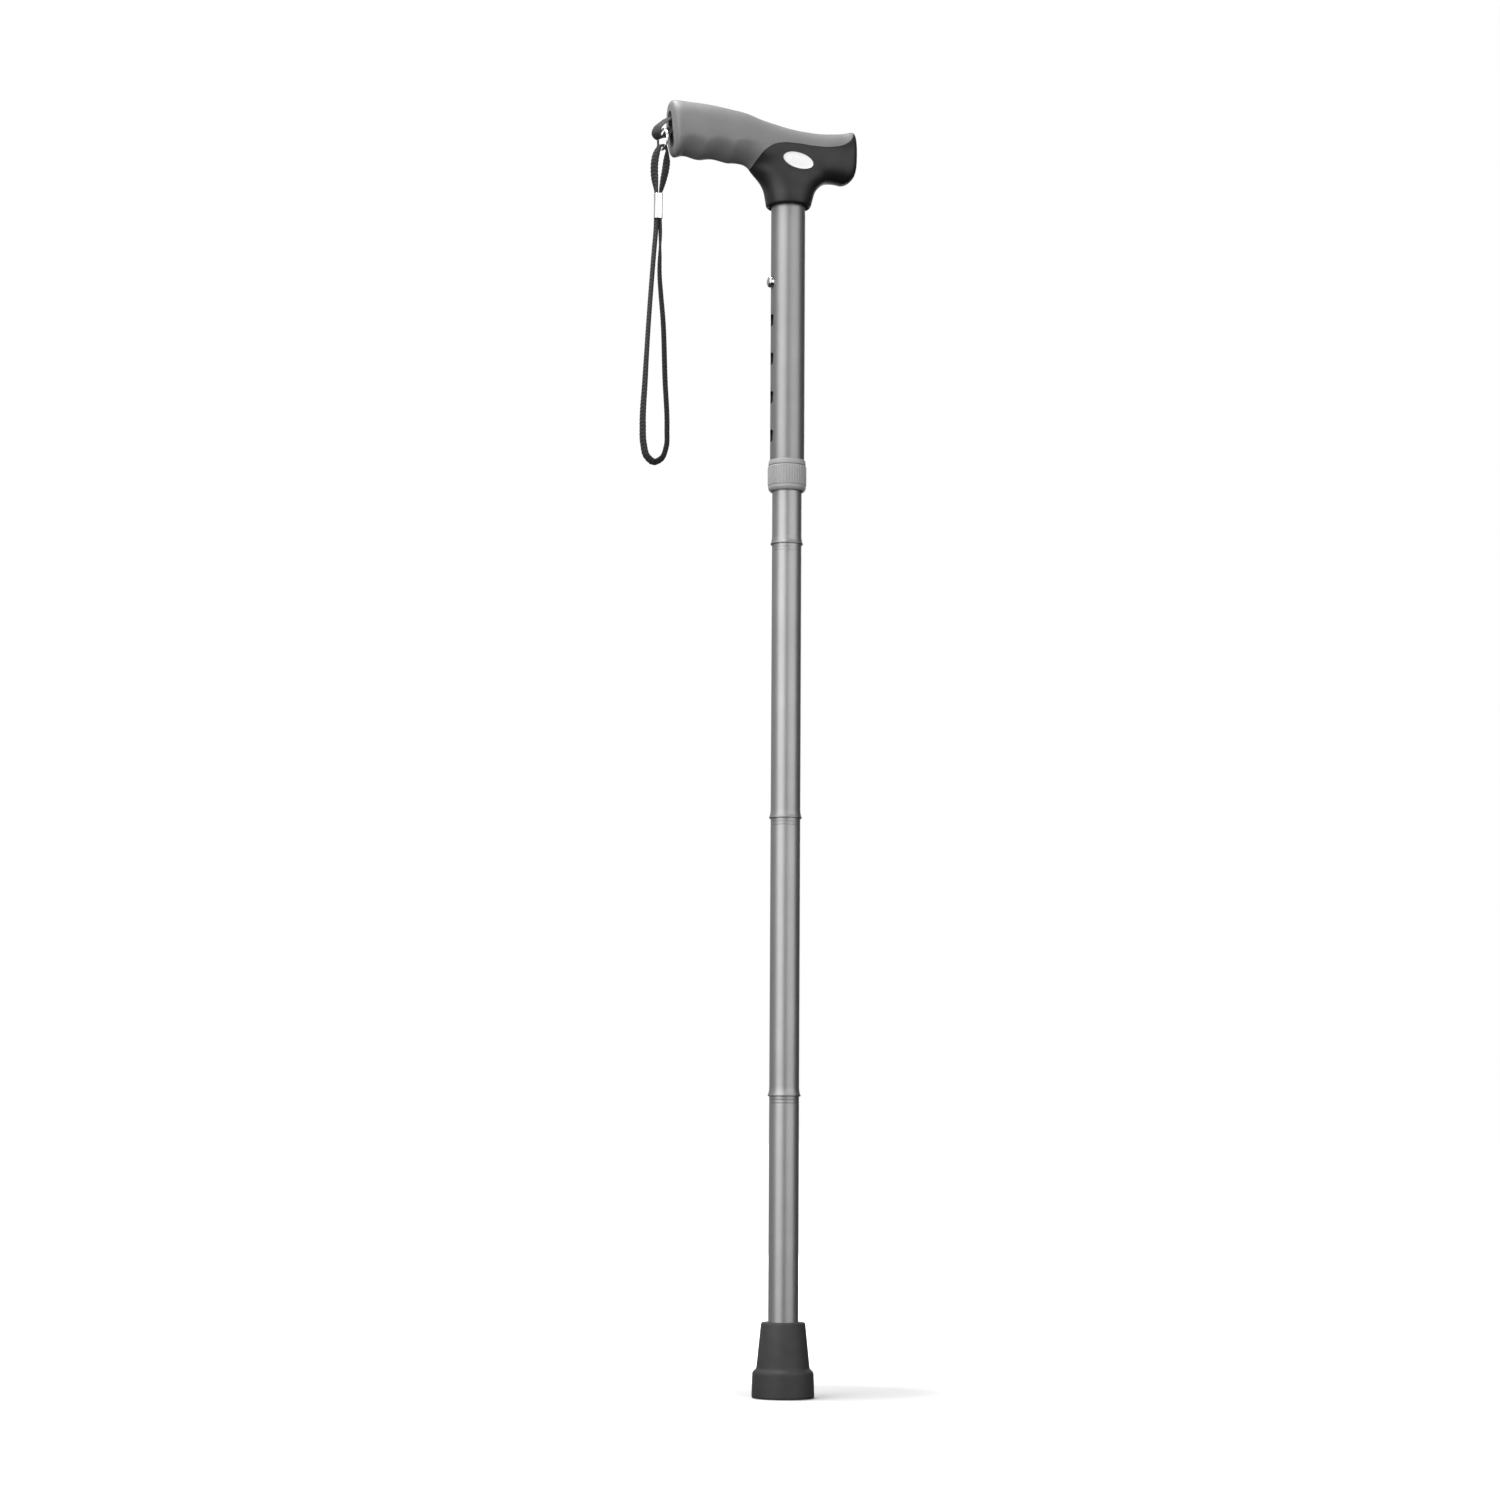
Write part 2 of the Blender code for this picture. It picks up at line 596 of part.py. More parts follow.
def make_handle_grip(finish):
    grip = make_handle_bar("handle_grip")
    grip.data.materials.append(finish)
    boolean(grip, make_neck("grip_neck"), "UNION")
    boolean(grip, seam_region("grip_seam_region", SLIP), "INTERSECT")
    boolean(grip, make_spine("grip_spine_cutter", SLIP), "DIFFERENCE")
    return boolean(grip, slot_cutter("grip_slot_cutter"), "DIFFERENCE")


# Wrist strap.

def make_anchor_pin(finish):
    pin = pin_cutter("strap_anchor_pin", PIN_RADIUS, 7.6)
    pin.data.materials.append(finish)
    return pin


def make_strap_tab(finish):
    """The fabric ribbon: round the pin in the slot, out, and round the split ring."""
    route = [(PIN_X + 2.6, 0, PIN_HEIGHT + 0.2), (PIN_X + 1.2, 0, PIN_HEIGHT + 2.4), (-72.4, 0, 815.0),
             (-76.8, 0, 818.1), (-80.8, 0, 817.9), (-85.8, 0, 814.9), (-88.8, 0, 811.7), (-88.4, 0, 808.1),
             (-85.0, 0, 806.1), (-79.8, 0, 805.1), (-74.5, 0, 806.5), (PIN_X - 1.0, 0, PIN_HEIGHT - 2.7),
             (PIN_X + 1.6, 0, PIN_HEIGHT - 2.2)]
    path = [(point.x, point.z) for point in smooth_route(route, 1.9, closed=True)]
    return strip("strap_tab", path, RIBBON_THICKNESS / 2, RIBBON_HALF_WIDTH, finish, closed=True)


def make_split_ring(finish):
    """A round wire ring, turned a little from the YZ plane. Its origin is where it hangs from the ribbon."""
    bpy.ops.mesh.primitive_torus_add(major_segments=32, minor_segments=8, major_radius=RING_RADIUS * MM,
                                     minor_radius=RING_WIRE * MM, location=(0, 0, 0),
                                     rotation=(math.pi / 2, 0, math.pi / 2 + RING_TURN))
    ring = bpy.context.object
    ring.name = "split_ring"
    ring.data.name = "split_ring"
    bpy.ops.object.transform_apply(location=False, rotation=True, scale=False)
    ring.location = Vector((RING_X, 0, RING_TOP - RING_RADIUS)) * MM
    bpy.ops.object.transform_apply(location=True, rotation=False, scale=False)
    ring.data.materials.append(finish)
    set_origin(ring, (RING_X, 0, RING_TOP))
    shade(ring)
    return ring


def strap_route():
    """The strap: up from the ferrule, over the ring, down through the ferrule and round the loop."""
    left = FERRULE_X - STRAP_LANE
    right = FERRULE_X + STRAP_LANE
    return [(left, 0, 766.7), (-89.4, 0.2, 771.6), (-90.3, 0.5, 780.4), (-90.1, 0.5, 788.6),
            (-89.0, 0.4, 794.1), (-87.9, 0.2, 797.0), (-87.0, 0.1, 798.6), (-85.2, 0, 799.25),
            (-83.4, -0.1, 798.6), (-82.5, -0.2, 797.0), (-82.3, -0.4, 791.7), (-83.0, -0.4, 784.0),
            (-84.9, -0.2, 774.4), (right, 0, 766.8), (right, 0, 750.2), (-86.2, -0.2, 741.3),
            (-86.4, -0.6, 729.5), (-86.7, -1.0, 714.7), (-85.8, -1.6, 700.1), (-84.6, -2.0, 686.5),
            (-82.9, -2.6, 645.6), (-81.3, -2.6, 612.6), (-81.6, -2.0, 600.9), (-84.5, -1.0, 593.5),
            (-88.9, 0, 591.3), (-93.4, 0.8, 594.7), (-95.6, 1.6, 602.9), (-96.1, 2.2, 615.5),
            (-94.8, 2.4, 644.7), (-92.7, 2.0, 685.9), (-91.0, 1.2, 714.4), (-90.0, 0.6, 730.2),
            (-89.1, 0.2, 743.0), (left, 0, 750.2), (left, 0, 764.3)]


def make_strap_cord(finish):
    curve = bpy.data.curves.new("strap_cord", "CURVE")
    curve.dimensions = "3D"
    curve.bevel_depth = STRAP_RADIUS * MM
    curve.bevel_resolution = 2
    curve.use_fill_caps = True
    points = smooth_route(strap_route(), STRAP_SPACING)
    spline = curve.splines.new("POLY")
    spline.points.add(len(points) - 1)
    for slot, point in zip(spline.points, points):
        slot.co = (*(point * MM), 1.0)
    strap = bpy.data.objects.new("strap_cord", curve)
    bpy.context.scene.collection.objects.link(strap)
    curve.materials.append(finish)
    return strap


def make_strap_ferrule(finish):
    """The crimped metal sleeve that holds the strap's two sides together."""
    rings = []
    low, high = FERRULE_HEIGHTS
    for shrink, height in ((0.0, low), (0.0, high), (FERRULE_WALL, high), (FERRULE_WALL, low)):
        ring = []
        for i in range(24):
            angle = math.tau * i / 24
            across = math.copysign(abs(math.cos(angle)) ** 0.6, math.cos(angle))
            deep = math.copysign(abs(math.sin(angle)) ** 0.6, math.sin(angle))
            ring.append((FERRULE_X + (FERRULE_SIZE[0] / 2 - shrink) * across,
                         (FERRULE_SIZE[1] / 2 - shrink) * deep, height))
        rings.append(ring)
    return lofted("strap_ferrule", rings, finish, closed=True)


def main():
    clear_scene()
    aluminium = material("grey anodised aluminium", (0.36, 0.36, 0.37), 0.34, 0.85)
    bare_metal = material("bare aluminium", (0.55, 0.55, 0.56), 0.3, 1.0)
    chrome = material("chrome", (0.75, 0.75, 0.76), 0.12, 1.0)
    steel = material("steel", (0.5, 0.5, 0.5), 0.28, 1.0)
    soft_grey = material("soft grey grip", (0.22, 0.22, 0.225), 0.55)
    hard_black = material("hard black plastic", (0.03, 0.03, 0.032), 0.42)
    black_rubber = material("black rubber", (0.025, 0.025, 0.025), 0.7)
    grey_plastic = material("grey plastic", (0.4, 0.4, 0.4), 0.5)
    white_plastic = material("white badge", (0.85, 0.85, 0.85), 0.25)
    fabric = material("black strap fabric", (0.03, 0.03, 0.03), 0.9)
    elastic = material("elastic cord", (0.05, 0.05, 0.05), 0.85)

    make_rubber_tip(black_rubber)
    make_tip_washer(steel)
    lower, middle, upper = JOINT_HEIGHTS
    make_plain_tube("lower_tube", LOWER_TUBE_BOTTOM, lower, aluminium)
    make_belled_tube("lower_middle_tube", lower, middle + NEST, aluminium, middle)
    make_belled_tube("upper_middle_tube", middle, upper + NEST, aluminium, upper)
    for level, joint in zip(("lower", "middle", "upper"), JOINT_HEIGHTS):
        make_joint_insert(f"{level}_joint_insert", joint, bare_metal)
    make_elastic_cord(elastic, hard_black)

    make_height_tube(aluminium)
    make_handle_tube(aluminium)
    make_guide_bush(hard_black)
    make_snap_button(steel)
    make_button_spring(steel)
    make_collet_sleeve(grey_plastic)
    make_compression_ring(hard_black)
    make_lock_nut(grey_plastic)

    make_handle_core(hard_black)
    make_handle_grip(soft_grey)
    make_badge(white_plastic)
    make_handle_screw(steel)

    make_anchor_pin(steel)
    make_strap_tab(fabric)
    make_split_ring(chrome)
    make_strap_cord(fabric)
    make_strap_ferrule(chrome)


main()
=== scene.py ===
"""Looks of the folding walking cane: camera, strap, handle, shaft, collar, foot, materials, light and floor.
Profiles and outlines are in millimetres, as in the part's own source; meshes are in metres."""

import math

import bmesh
import bpy
from mathutils import Matrix, Vector


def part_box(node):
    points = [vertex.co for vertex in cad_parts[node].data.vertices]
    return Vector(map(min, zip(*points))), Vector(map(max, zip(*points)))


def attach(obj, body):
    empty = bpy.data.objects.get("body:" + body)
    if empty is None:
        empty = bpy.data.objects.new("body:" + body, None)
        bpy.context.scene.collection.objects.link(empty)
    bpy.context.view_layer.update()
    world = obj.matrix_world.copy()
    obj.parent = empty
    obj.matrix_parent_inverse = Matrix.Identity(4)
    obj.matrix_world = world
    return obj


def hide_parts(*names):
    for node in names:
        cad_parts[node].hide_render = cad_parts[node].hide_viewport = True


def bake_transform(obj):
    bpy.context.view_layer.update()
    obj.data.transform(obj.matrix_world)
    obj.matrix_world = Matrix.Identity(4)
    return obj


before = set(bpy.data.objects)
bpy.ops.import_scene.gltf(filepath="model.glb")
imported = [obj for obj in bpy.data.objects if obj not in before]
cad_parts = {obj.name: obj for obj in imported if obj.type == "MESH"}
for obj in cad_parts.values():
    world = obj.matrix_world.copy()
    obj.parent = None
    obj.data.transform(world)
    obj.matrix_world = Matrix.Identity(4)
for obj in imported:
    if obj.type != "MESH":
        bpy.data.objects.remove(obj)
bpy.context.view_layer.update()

MM = 0.001
SMOOTH_ANGLE = math.radians(32)
ROUND_COUNT = 96


def low(node):
    """Height of a node's underside, in millimetres."""
    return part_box(node)[0].z / MM


def high(node):
    """Height of a node's top, in millimetres."""
    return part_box(node)[1].z / MM


def middle(node):
    """Centre of a node's box, in millimetres."""
    lowest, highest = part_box(node)
    return (lowest + highest) / 2 / MM


# Camera: low, on the palm end's side of the cane, looking slightly up.

CAMERA_AZIMUTH = math.radians(-17)
CAMERA_DISTANCE = 2.2006
CAMERA_HEIGHT = 0.1669
CAMERA_PITCH = math.radians(6.28)
CAMERA_PAN = math.radians(0.597)
CAMERA_ROLL = math.radians(0.33)
CAMERA_LENS = 82.9


def add_camera():
    data = bpy.data.cameras.new("camera")
    data.lens = CAMERA_LENS
    data.clip_end = 60
    camera = bpy.data.objects.new("camera", data)
    turn = Matrix.Rotation(CAMERA_AZIMUTH + CAMERA_PAN, 4, "Z")
    tilt = Matrix.Rotation(math.pi / 2 + CAMERA_PITCH, 4, "X")
    roll = Matrix.Rotation(CAMERA_ROLL, 4, "Z")
    place = Matrix.Translation((math.sin(CAMERA_AZIMUTH) * CAMERA_DISTANCE,
                                -math.cos(CAMERA_AZIMUTH) * CAMERA_DISTANCE, CAMERA_HEIGHT))
    camera.matrix_world = place @ turn @ tilt @ roll
    bpy.context.scene.collection.objects.link(camera)
    bpy.context.scene.camera = camera
    bpy.context.scene.view_settings.view_transform = "Standard"


# Mesh helpers.

def new_object(name, bm):
    """A smooth-shaded object from a bmesh in millimetres."""
    bmesh.ops.scale(bm, vec=(MM, MM, MM), verts=bm.verts)
    bmesh.ops.recalc_face_normals(bm, faces=bm.faces)
    mesh = bpy.data.meshes.new(name)
    bm.to_mesh(mesh)
    bm.free()
    obj = bpy.data.objects.new(name, mesh)
    bpy.context.scene.collection.objects.link(obj)
    shade(obj)
    return obj


def shade(obj):
    obj.data.shade_smooth()
    obj.data.set_sharp_from_angle(angle=SMOOTH_ANGLE)


def apply_modifiers(obj):
    graph = bpy.context.evaluated_depsgraph_get()
    made = bpy.data.meshes.new_from_object(obj.evaluated_get(graph))
    obj.modifiers.clear()
    old = obj.data
    obj.data = made
    bpy.data.meshes.remove(old)
    shade(obj)
    return obj


def boolean(obj, cutter, operation="DIFFERENCE"):
    """Cuts, joins or intersects, makes the result obj's own mesh, and removes the cutter."""
    modifier = obj.modifiers.new("Boolean", "BOOLEAN")
    modifier.operation = operation
    modifier.object = cutter
    modifier.solver = "EXACT"
    apply_modifiers(obj)
    bpy.data.objects.remove(cutter)


def lofted(name, rings, closed=False):
    """Skin over rings of points, all with the same count. Unless the loft is closed, both ends are capped."""
    bm = bmesh.new()
    rows = [[bm.verts.new(point) for point in ring] for ring in rings]
    count = len(rows[0])
    for below, above in zip(rows, rows[1:] + rows[:1] if closed else rows[1:]):
        for i in range(count):
            j = (i + 1) % count
            bm.faces.new((below[i], below[j], above[j], above[i]))
    if not closed:
        bm.faces.new(rows[0])
        bm.faces.new(rows[-1])
    return new_object(name, bm)


def round_rings(profile):
    """A ring of points about Z for each (radius, height) of the profile."""
    angles = [math.tau * i / ROUND_COUNT for i in range(ROUND_COUNT)]
    return [[(radius * math.cos(angle), radius * math.sin(angle), height) for angle in angles]
            for radius, height in profile]


def turned(name, profile):
    """A ring-shaped piece turned about Z from a closed loop of (radius, height) points."""
    return lofted(name, round_rings(profile), closed=True)


def upright_ring(x, height, half_width, half_height, count):
    """An oval ring of points in the upright plane across the handle at x."""
    angles = [math.tau * k / count for k in range(count)]
    return [(x, half_width * math.cos(angle), height + half_height * math.sin(angle)) for angle in angles]


def rounded(points, radius, steps=4):
    """The closed (radius, height) outline with each corner that has a rounding replaced by a small arc."""
    made = []
    count = len(points)
    for i, point in enumerate(points):
        here = Vector(point[:2])
        amount = point[2] if len(point) > 2 else radius
        before = Vector(points[i - 1][:2]) - here
        after = Vector(points[(i + 1) % count][:2]) - here
        amount = min(amount, before.length * 0.45, after.length * 0.45)
        if amount <= 0.01:
            made.append(tuple(here))
            continue
        start = here + before.normalized() * amount
        end = here + after.normalized() * amount
        for k in range(steps + 1):
            t = k / steps
            made.append(tuple(start * (1 - t) ** 2 + here * (2 * t * (1 - t)) + end * t * t))
    return made


def signed_power(value, power):
    """The value's size to the power, with the value's own sign."""
    return math.copysign(abs(value) ** power, value)


def smooth_step(t):
    t = min(max(t, 0.0), 1.0)
    return t * t * (3 - 2 * t)


def smooth_value(points, at):
    """Height of a smooth curve through (x, value) points, by cubic Hermite pieces."""
    at = min(max(at, points[0][0]), points[-1][0])
    slopes = []
    for i in range(len(points)):
        before = points[max(i - 1, 0)]
        after = points[min(i + 1, len(points) - 1)]
        slopes.append((after[1] - before[1]) / (after[0] - before[0]))
    for i in range(len(points) - 1):
        x0, y0 = points[i]
        x1, y1 = points[i + 1]
        if at <= x1:
            break
    span = x1 - x0
    t = (at - x0) / span
    return (y0 * (1 + 2 * t) * (1 - t) ** 2 + slopes[i] * span * t * (1 - t) ** 2
            + y1 * t * t * (3 - 2 * t) + slopes[i + 1] * span * t * t * (t - 1))


def smooth_route(points, spacing, closed=False):
    """A smooth curve through the route's points, with more points about spacing apart where they are far."""
    points = [Vector(point) for point in points]
    count = len(points)
    spans = count if closed else count - 1
    steps = [points[(i + 1) % count] - points[i] for i in range(spans)]
    slopes = []
    for i in range(count):
        if not closed and i in (0, count - 1):
            end = steps[0] if i == 0 else steps[-1]
            slopes.append(end / end.length)
            continue
        before, after = steps[i - 1], steps[i % spans]
        slopes.append((before / before.length * after.length + after / after.length * before.length)
                      / (before.length + after.length))
    curve = []
    for i, step in enumerate(steps):
        length = step.length
        start, end = slopes[i] * length, slopes[(i + 1) % count] * length
        pieces = max(1, round(length / spacing))
        for k in range(pieces):
            t = k / pieces
            curve.append(points[i] + step * (t * t * (3 - 2 * t)) + start * (t * (1 - t) ** 2)
                         + end * (t * t * (t - 1)))
    return curve if closed else curve + [points[-1]]


def heading(points, i):
    """Direction of an open route at its point i."""
    return (points[min(i + 1, len(points) - 1)] - points[max(i - 1, 0)]).normalized()


def lengths_along(points):
    """Length of the route up to each of its points."""
    lengths = [0.0]
    for before, after in zip(points, points[1:]):
        lengths.append(lengths[-1] + (after - before).length)
    return lengths


# Materials.

class Nodes:
    """The node tree of a material or world, with short ways to add the nodes used here."""

    def __init__(self, owner):
        owner.use_nodes = True
        self.owner = owner
        self.tree = owner.node_tree
        self.coordinates = self.add("ShaderNodeTexCoord").outputs

    def link(self, source, target):
        self.tree.links.new(source, target)

    def add(self, kind, **settings):
        node = self.tree.nodes.new(kind)
        for key, value in settings.items():
            setattr(node, key, value)
        return node

    def noise(self, size, stretch=(1, 1, 1), detail=4.0, roughness=0.55):
        """Noise with features about size millimetres across, stretched along the axes given."""
        texture = self.add("ShaderNodeTexNoise")
        texture.inputs["Scale"].default_value = 1 / (size * MM)
        texture.inputs["Detail"].default_value = detail
        texture.inputs["Roughness"].default_value = roughness
        mapping = self.add("ShaderNodeMapping")
        mapping.inputs["Scale"].default_value = [1 / s for s in stretch]
        self.link(self.coordinates["Object"], mapping.inputs["Vector"])
        self.link(mapping.outputs["Vector"], texture.inputs["Vector"])
        return texture.outputs["Fac"]

    def span(self, value, low_end, high_end, start=0.3, stop=0.7, curve="LINEAR"):
        """The value between start and stop, mapped to low_end..high_end."""
        node = self.add("ShaderNodeMapRange", interpolation_type=curve)
        ends = {"From Min": start, "From Max": stop, "To Min": low_end, "To Max": high_end}
        for key, number in ends.items():
            node.inputs[key].default_value = number
        self.link(value, node.inputs["Value"])
        return node.outputs["Result"]

    def greys(self, value, darker, lighter, start=0.3, stop=0.7):
        """Greys from darker to lighter as the value goes from start to stop."""
        ramp = self.add("ShaderNodeValToRGB")
        for element, at, level in zip(ramp.color_ramp.elements, (start, stop), (darker, lighter)):
            element.position = at
            element.color = (level, level, level * 1.01, 1)
        self.link(value, ramp.inputs["Fac"])
        return ramp.outputs["Color"]

    def maths(self, operation, *values):
        node = self.add("ShaderNodeMath", operation=operation)
        for socket, value in zip(node.inputs, values):
            if isinstance(value, (int, float)):
                socket.default_value = value
            else:
                self.link(value, socket)
        return node.outputs[0]

    def bump(self, height, distance, strength=1.0, after=None):
        node = self.add("ShaderNodeBump")
        node.inputs["Distance"].default_value = distance * MM
        node.inputs["Strength"].default_value = strength
        self.link(height, node.inputs["Height"])
        if after is not None:
            self.link(after, node.inputs["Normal"])
        return node.outputs["Normal"]

    def finish(self, colour, roughness, normal, **sockets):
        """Gives the material's shader its textures and its plain values, and returns the material."""
        inputs = self.tree.nodes["Principled BSDF"].inputs
        self.link(colour, inputs["Base Color"])
        self.link(roughness, inputs["Roughness"])
        self.link(normal, inputs["Normal"])
        for key, value in sockets.items():
            inputs[key.replace("_", " ")].default_value = value
        return self.owner


def anodised(name, darker, lighter, rough):
    """Drawn and anodised tube: faint lengthwise draw lines and small handling marks."""
    made = Nodes(bpy.data.materials.new(name))
    lines = made.noise(0.35, stretch=(1, 1, 400), detail=2)
    clouds = made.noise(28, detail=3)
    marks = made.noise(5, stretch=(1, 1, 3), detail=6, roughness=0.7)
    tone = made.maths("ADD", made.maths("MULTIPLY", lines, 0.3), made.maths("MULTIPLY", clouds, 0.7))
    colour = made.greys(tone, darker, lighter)
    gloss = made.maths("ADD", made.span(marks, -0.015, 0.02), made.span(lines, rough - 0.02, rough + 0.02))
    normal = made.bump(made.noise(0.12, detail=2), 0.0015, 0.3, after=made.bump(lines, 0.0012, 0.2))
    return made.finish(colour, gloss, normal, Metallic=0.85)


def moulded(name, darker, lighter, rough, grain=0.35, depth=0.03, **sockets):
    """Moulded plastic or rubber: a fine spark-eroded grain, slow tone changes and rubbed patches."""
    made = Nodes(bpy.data.materials.new(name))
    fine = made.noise(grain, detail=2, roughness=0.6)
    clouds = made.noise(22, detail=4)
    rubbed = made.noise(9, detail=5, roughness=0.65)
    tone = made.maths("ADD", made.maths("MULTIPLY", clouds, 0.75), made.maths("MULTIPLY", fine, 0.25))
    colour = made.greys(tone, darker, lighter)
    gloss = made.maths("ADD", made.span(rubbed, -0.05, 0.06), made.span(fine, rough - 0.04, rough + 0.04))
    return made.finish(colour, gloss, made.bump(fine, depth, 0.6), **sockets)


def plated(name, level, rough):
    """Bright plated wire and sheet: nearly smooth, with fine scratches and a slight haze."""
    made = Nodes(bpy.data.materials.new(name))
    scratches = made.noise(0.35, stretch=(1, 14, 1), detail=3)
    haze = made.noise(4, detail=4)
    colour = made.greys(haze, level * 0.9, level)
    gloss = made.maths("ADD", made.span(haze, -0.03, 0.05), made.span(scratches, rough - 0.02, rough + 0.05))
    return made.finish(colour, gloss, made.bump(scratches, 0.004, 0.25), Metallic=1.0)


def braided(name, darker, lighter, pitch):
    """Braided cord: crossing yarns worked out from the mesh's own length (u) and width (v) coordinates."""
    made = Nodes(bpy.data.materials.new(name))
    split = made.add("ShaderNodeSeparateXYZ")
    made.link(made.add("ShaderNodeUVMap").outputs["UV"], split.inputs["Vector"])
    along, across = split.outputs["X"], split.outputs["Y"]
    turns = made.maths("MULTIPLY", along, math.tau / pitch)
    lean = made.maths("MULTIPLY", across, math.tau * 2)
    one = made.maths("SINE", made.maths("ADD", turns, lean))
    other = made.maths("SINE", made.maths("SUBTRACT", turns, lean))
    weave = made.maths("MAXIMUM", one, other)
    fuzz = made.noise(0.18, detail=3, roughness=0.7)
    tone = made.maths("ADD", made.span(weave, 0.0, 0.7, start=-0.6, stop=1.0), made.span(fuzz, 0.0, 0.3))
    colour = made.greys(tone, darker, lighter, start=0.1, stop=0.9)
    gloss = made.span(fuzz, 0.74, 0.95)
    return made.finish(colour, gloss, made.bump(weave, 0.12, 0.8, after=made.bump(fuzz, 0.05, 0.6)),
                       Sheen_Weight=0.12, Sheen_Roughness=0.5)


def dress(obj, material):
    obj.data.materials.clear()
    obj.data.materials.append(material)


def stand_in(piece, material, body, node):
    """Dresses the piece and makes it stand for a CAD node, moving with a body."""
    dress(piece, material)
    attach(piece, body)
    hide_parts(node)


# Wrist strap.

STRAP_WIDTH = 5.0
STRAP_THICKNESS = 1.7
FERRULE_X = middle("strap_ferrule").x
STRAP_LANE = 1.2
BRAID_PITCH = 2.4
STRAP_YARN_RISE = 0.07
RIBBON_YARN_RISE = 0.05


def strap_route():
    """From end to end: up from the ferrule, over the ring, down through the ferrule and round the loop.
    The two runs lie side by side in the ferrule, in lanes on each side of its middle."""
    left = FERRULE_X - STRAP_LANE
    right = FERRULE_X + STRAP_LANE
    return [(left, 0, 766.7), (-89.4, 0.2, 771.6), (-90.3, 0.5, 780.4), (-90.1, 0.5, 788.6),
            (-89.0, 0.4, 794.1), (-87.9, 0.2, 797.0), (-87.0, 0.1, 798.6), (-85.2, 0, 799.25),
            (-83.4, -0.1, 798.6), (-82.5, -0.2, 797.0), (-82.3, -0.4, 791.7), (-83.0, -0.4, 784.0),
            (-84.9, -0.2, 774.4), (right, 0, 766.8), (right, 0, 750.2), (-86.2, -0.2, 741.3),
            (-86.4, -0.6, 729.5), (-86.7, -1.0, 714.7), (-85.8, -1.6, 700.1), (-84.6, -2.0, 686.5),
            (-82.9, -2.6, 645.6), (-81.3, -2.6, 612.6), (-81.6, -2.0, 600.9), (-84.5, -1.0, 593.5),
            (-88.9, 0, 591.3), (-93.4, 0.8, 594.7), (-95.6, 1.6, 602.9), (-96.1, 2.2, 615.5),
            (-94.8, 2.4, 644.7), (-92.7, 2.0, 685.9), (-91.0, 1.2, 714.4), (-90.0, 0.6, 730.2),
            (-89.1, 0.2, 743.0), (left, 0, 750.2), (left, 0, 764.3)]


# How far the strap is turned about its path, as (length along it in millimetres, degrees).
STRAP_TWIST = (
    (0, 0), (4, 12), (14, 62), (24, 60), (32, 20), (37, 5), (42, 40), (48, 80), (56, 72), (65, 38), (72, 5),
    (78, 0), (96, 0), (112, 34), (150, 47), (230, 47), (265, 38), (300, 26), (330, 16), (430, 14), (448, 0),
    (475, 0),
)


def oval_section(width, thickness, power=0.75, count=20):
    """Cross-section of a flat braid or sleeve: an oval with full corners, as (across, through) offsets."""
    section = []
    for i in range(count):
        angle = math.tau * i / count
        section.append((signed_power(math.cos(angle), power) * width / 2,
                        signed_power(math.sin(angle), power) * thickness / 2))
    return section


def yarn_swell(length, spot, count, rise):
    """How much the crossing yarns swell a braid, at a length along it and at one of the spots round it."""
    turn = math.tau * length / BRAID_PITCH
    lean = math.tau * 2 * spot / count
    return 1.0 + (rise * max(math.sin(turn + lean), math.sin(turn - lean)) - 0.03)


def add_braid_uv(obj, lengths, count):
    """UV: u is the length along the braid in millimetres, v runs once round it."""
    layer = obj.data.uv_layers.new(name="braid")
    for polygon in obj.data.polygons:
        spots = [divmod(vertex, count) for vertex in polygon.vertices]
        wraps = max(spot for _, spot in spots) == count - 1 and min(spot for _, spot in spots) == 0
        for loop, (row, spot) in zip(polygon.loop_indices, spots):
            turn = spot + count if wraps and spot < count / 2 else spot
            layer.data[loop].uv = (lengths[row], turn / count)


def make_braid(name, centres, twist, width, thickness, yarns=True):
    """A flat braid along the centres, its wide side along Y but turned by twist, in degrees."""
    lengths = lengths_along(centres)
    section = oval_section(width, thickness)
    rings = []
    for i, centre in enumerate(centres):
        along = heading(centres, i)
        wide = (Vector((0, 1, 0)) - along * along.y).normalized()
        wide = Matrix.Rotation(math.radians(smooth_value(twist, lengths[i])), 3, along) @ wide
        deep = along.cross(wide)
        ring = []
        for k, (across, through) in enumerate(section):
            swell = yarn_swell(lengths[i], k, len(section), STRAP_YARN_RISE) if yarns else 1.0
            ring.append(centre + wide * across * swell + deep * through * swell)
        rings.append(ring)
    obj = lofted(name, rings)
    add_braid_uv(obj, lengths, len(section))
    return obj, lengths[-1]


def make_strap():
    centres = smooth_route(strap_route(), 0.7)
    strap, length = make_braid("wrist_strap", centres, STRAP_TWIST, STRAP_WIDTH, STRAP_THICKNESS)
    stand_in(strap, braided("strap braid", 0.0045, 0.018, BRAID_PITCH), "strap", "strap_cord")
    make_ferrule()


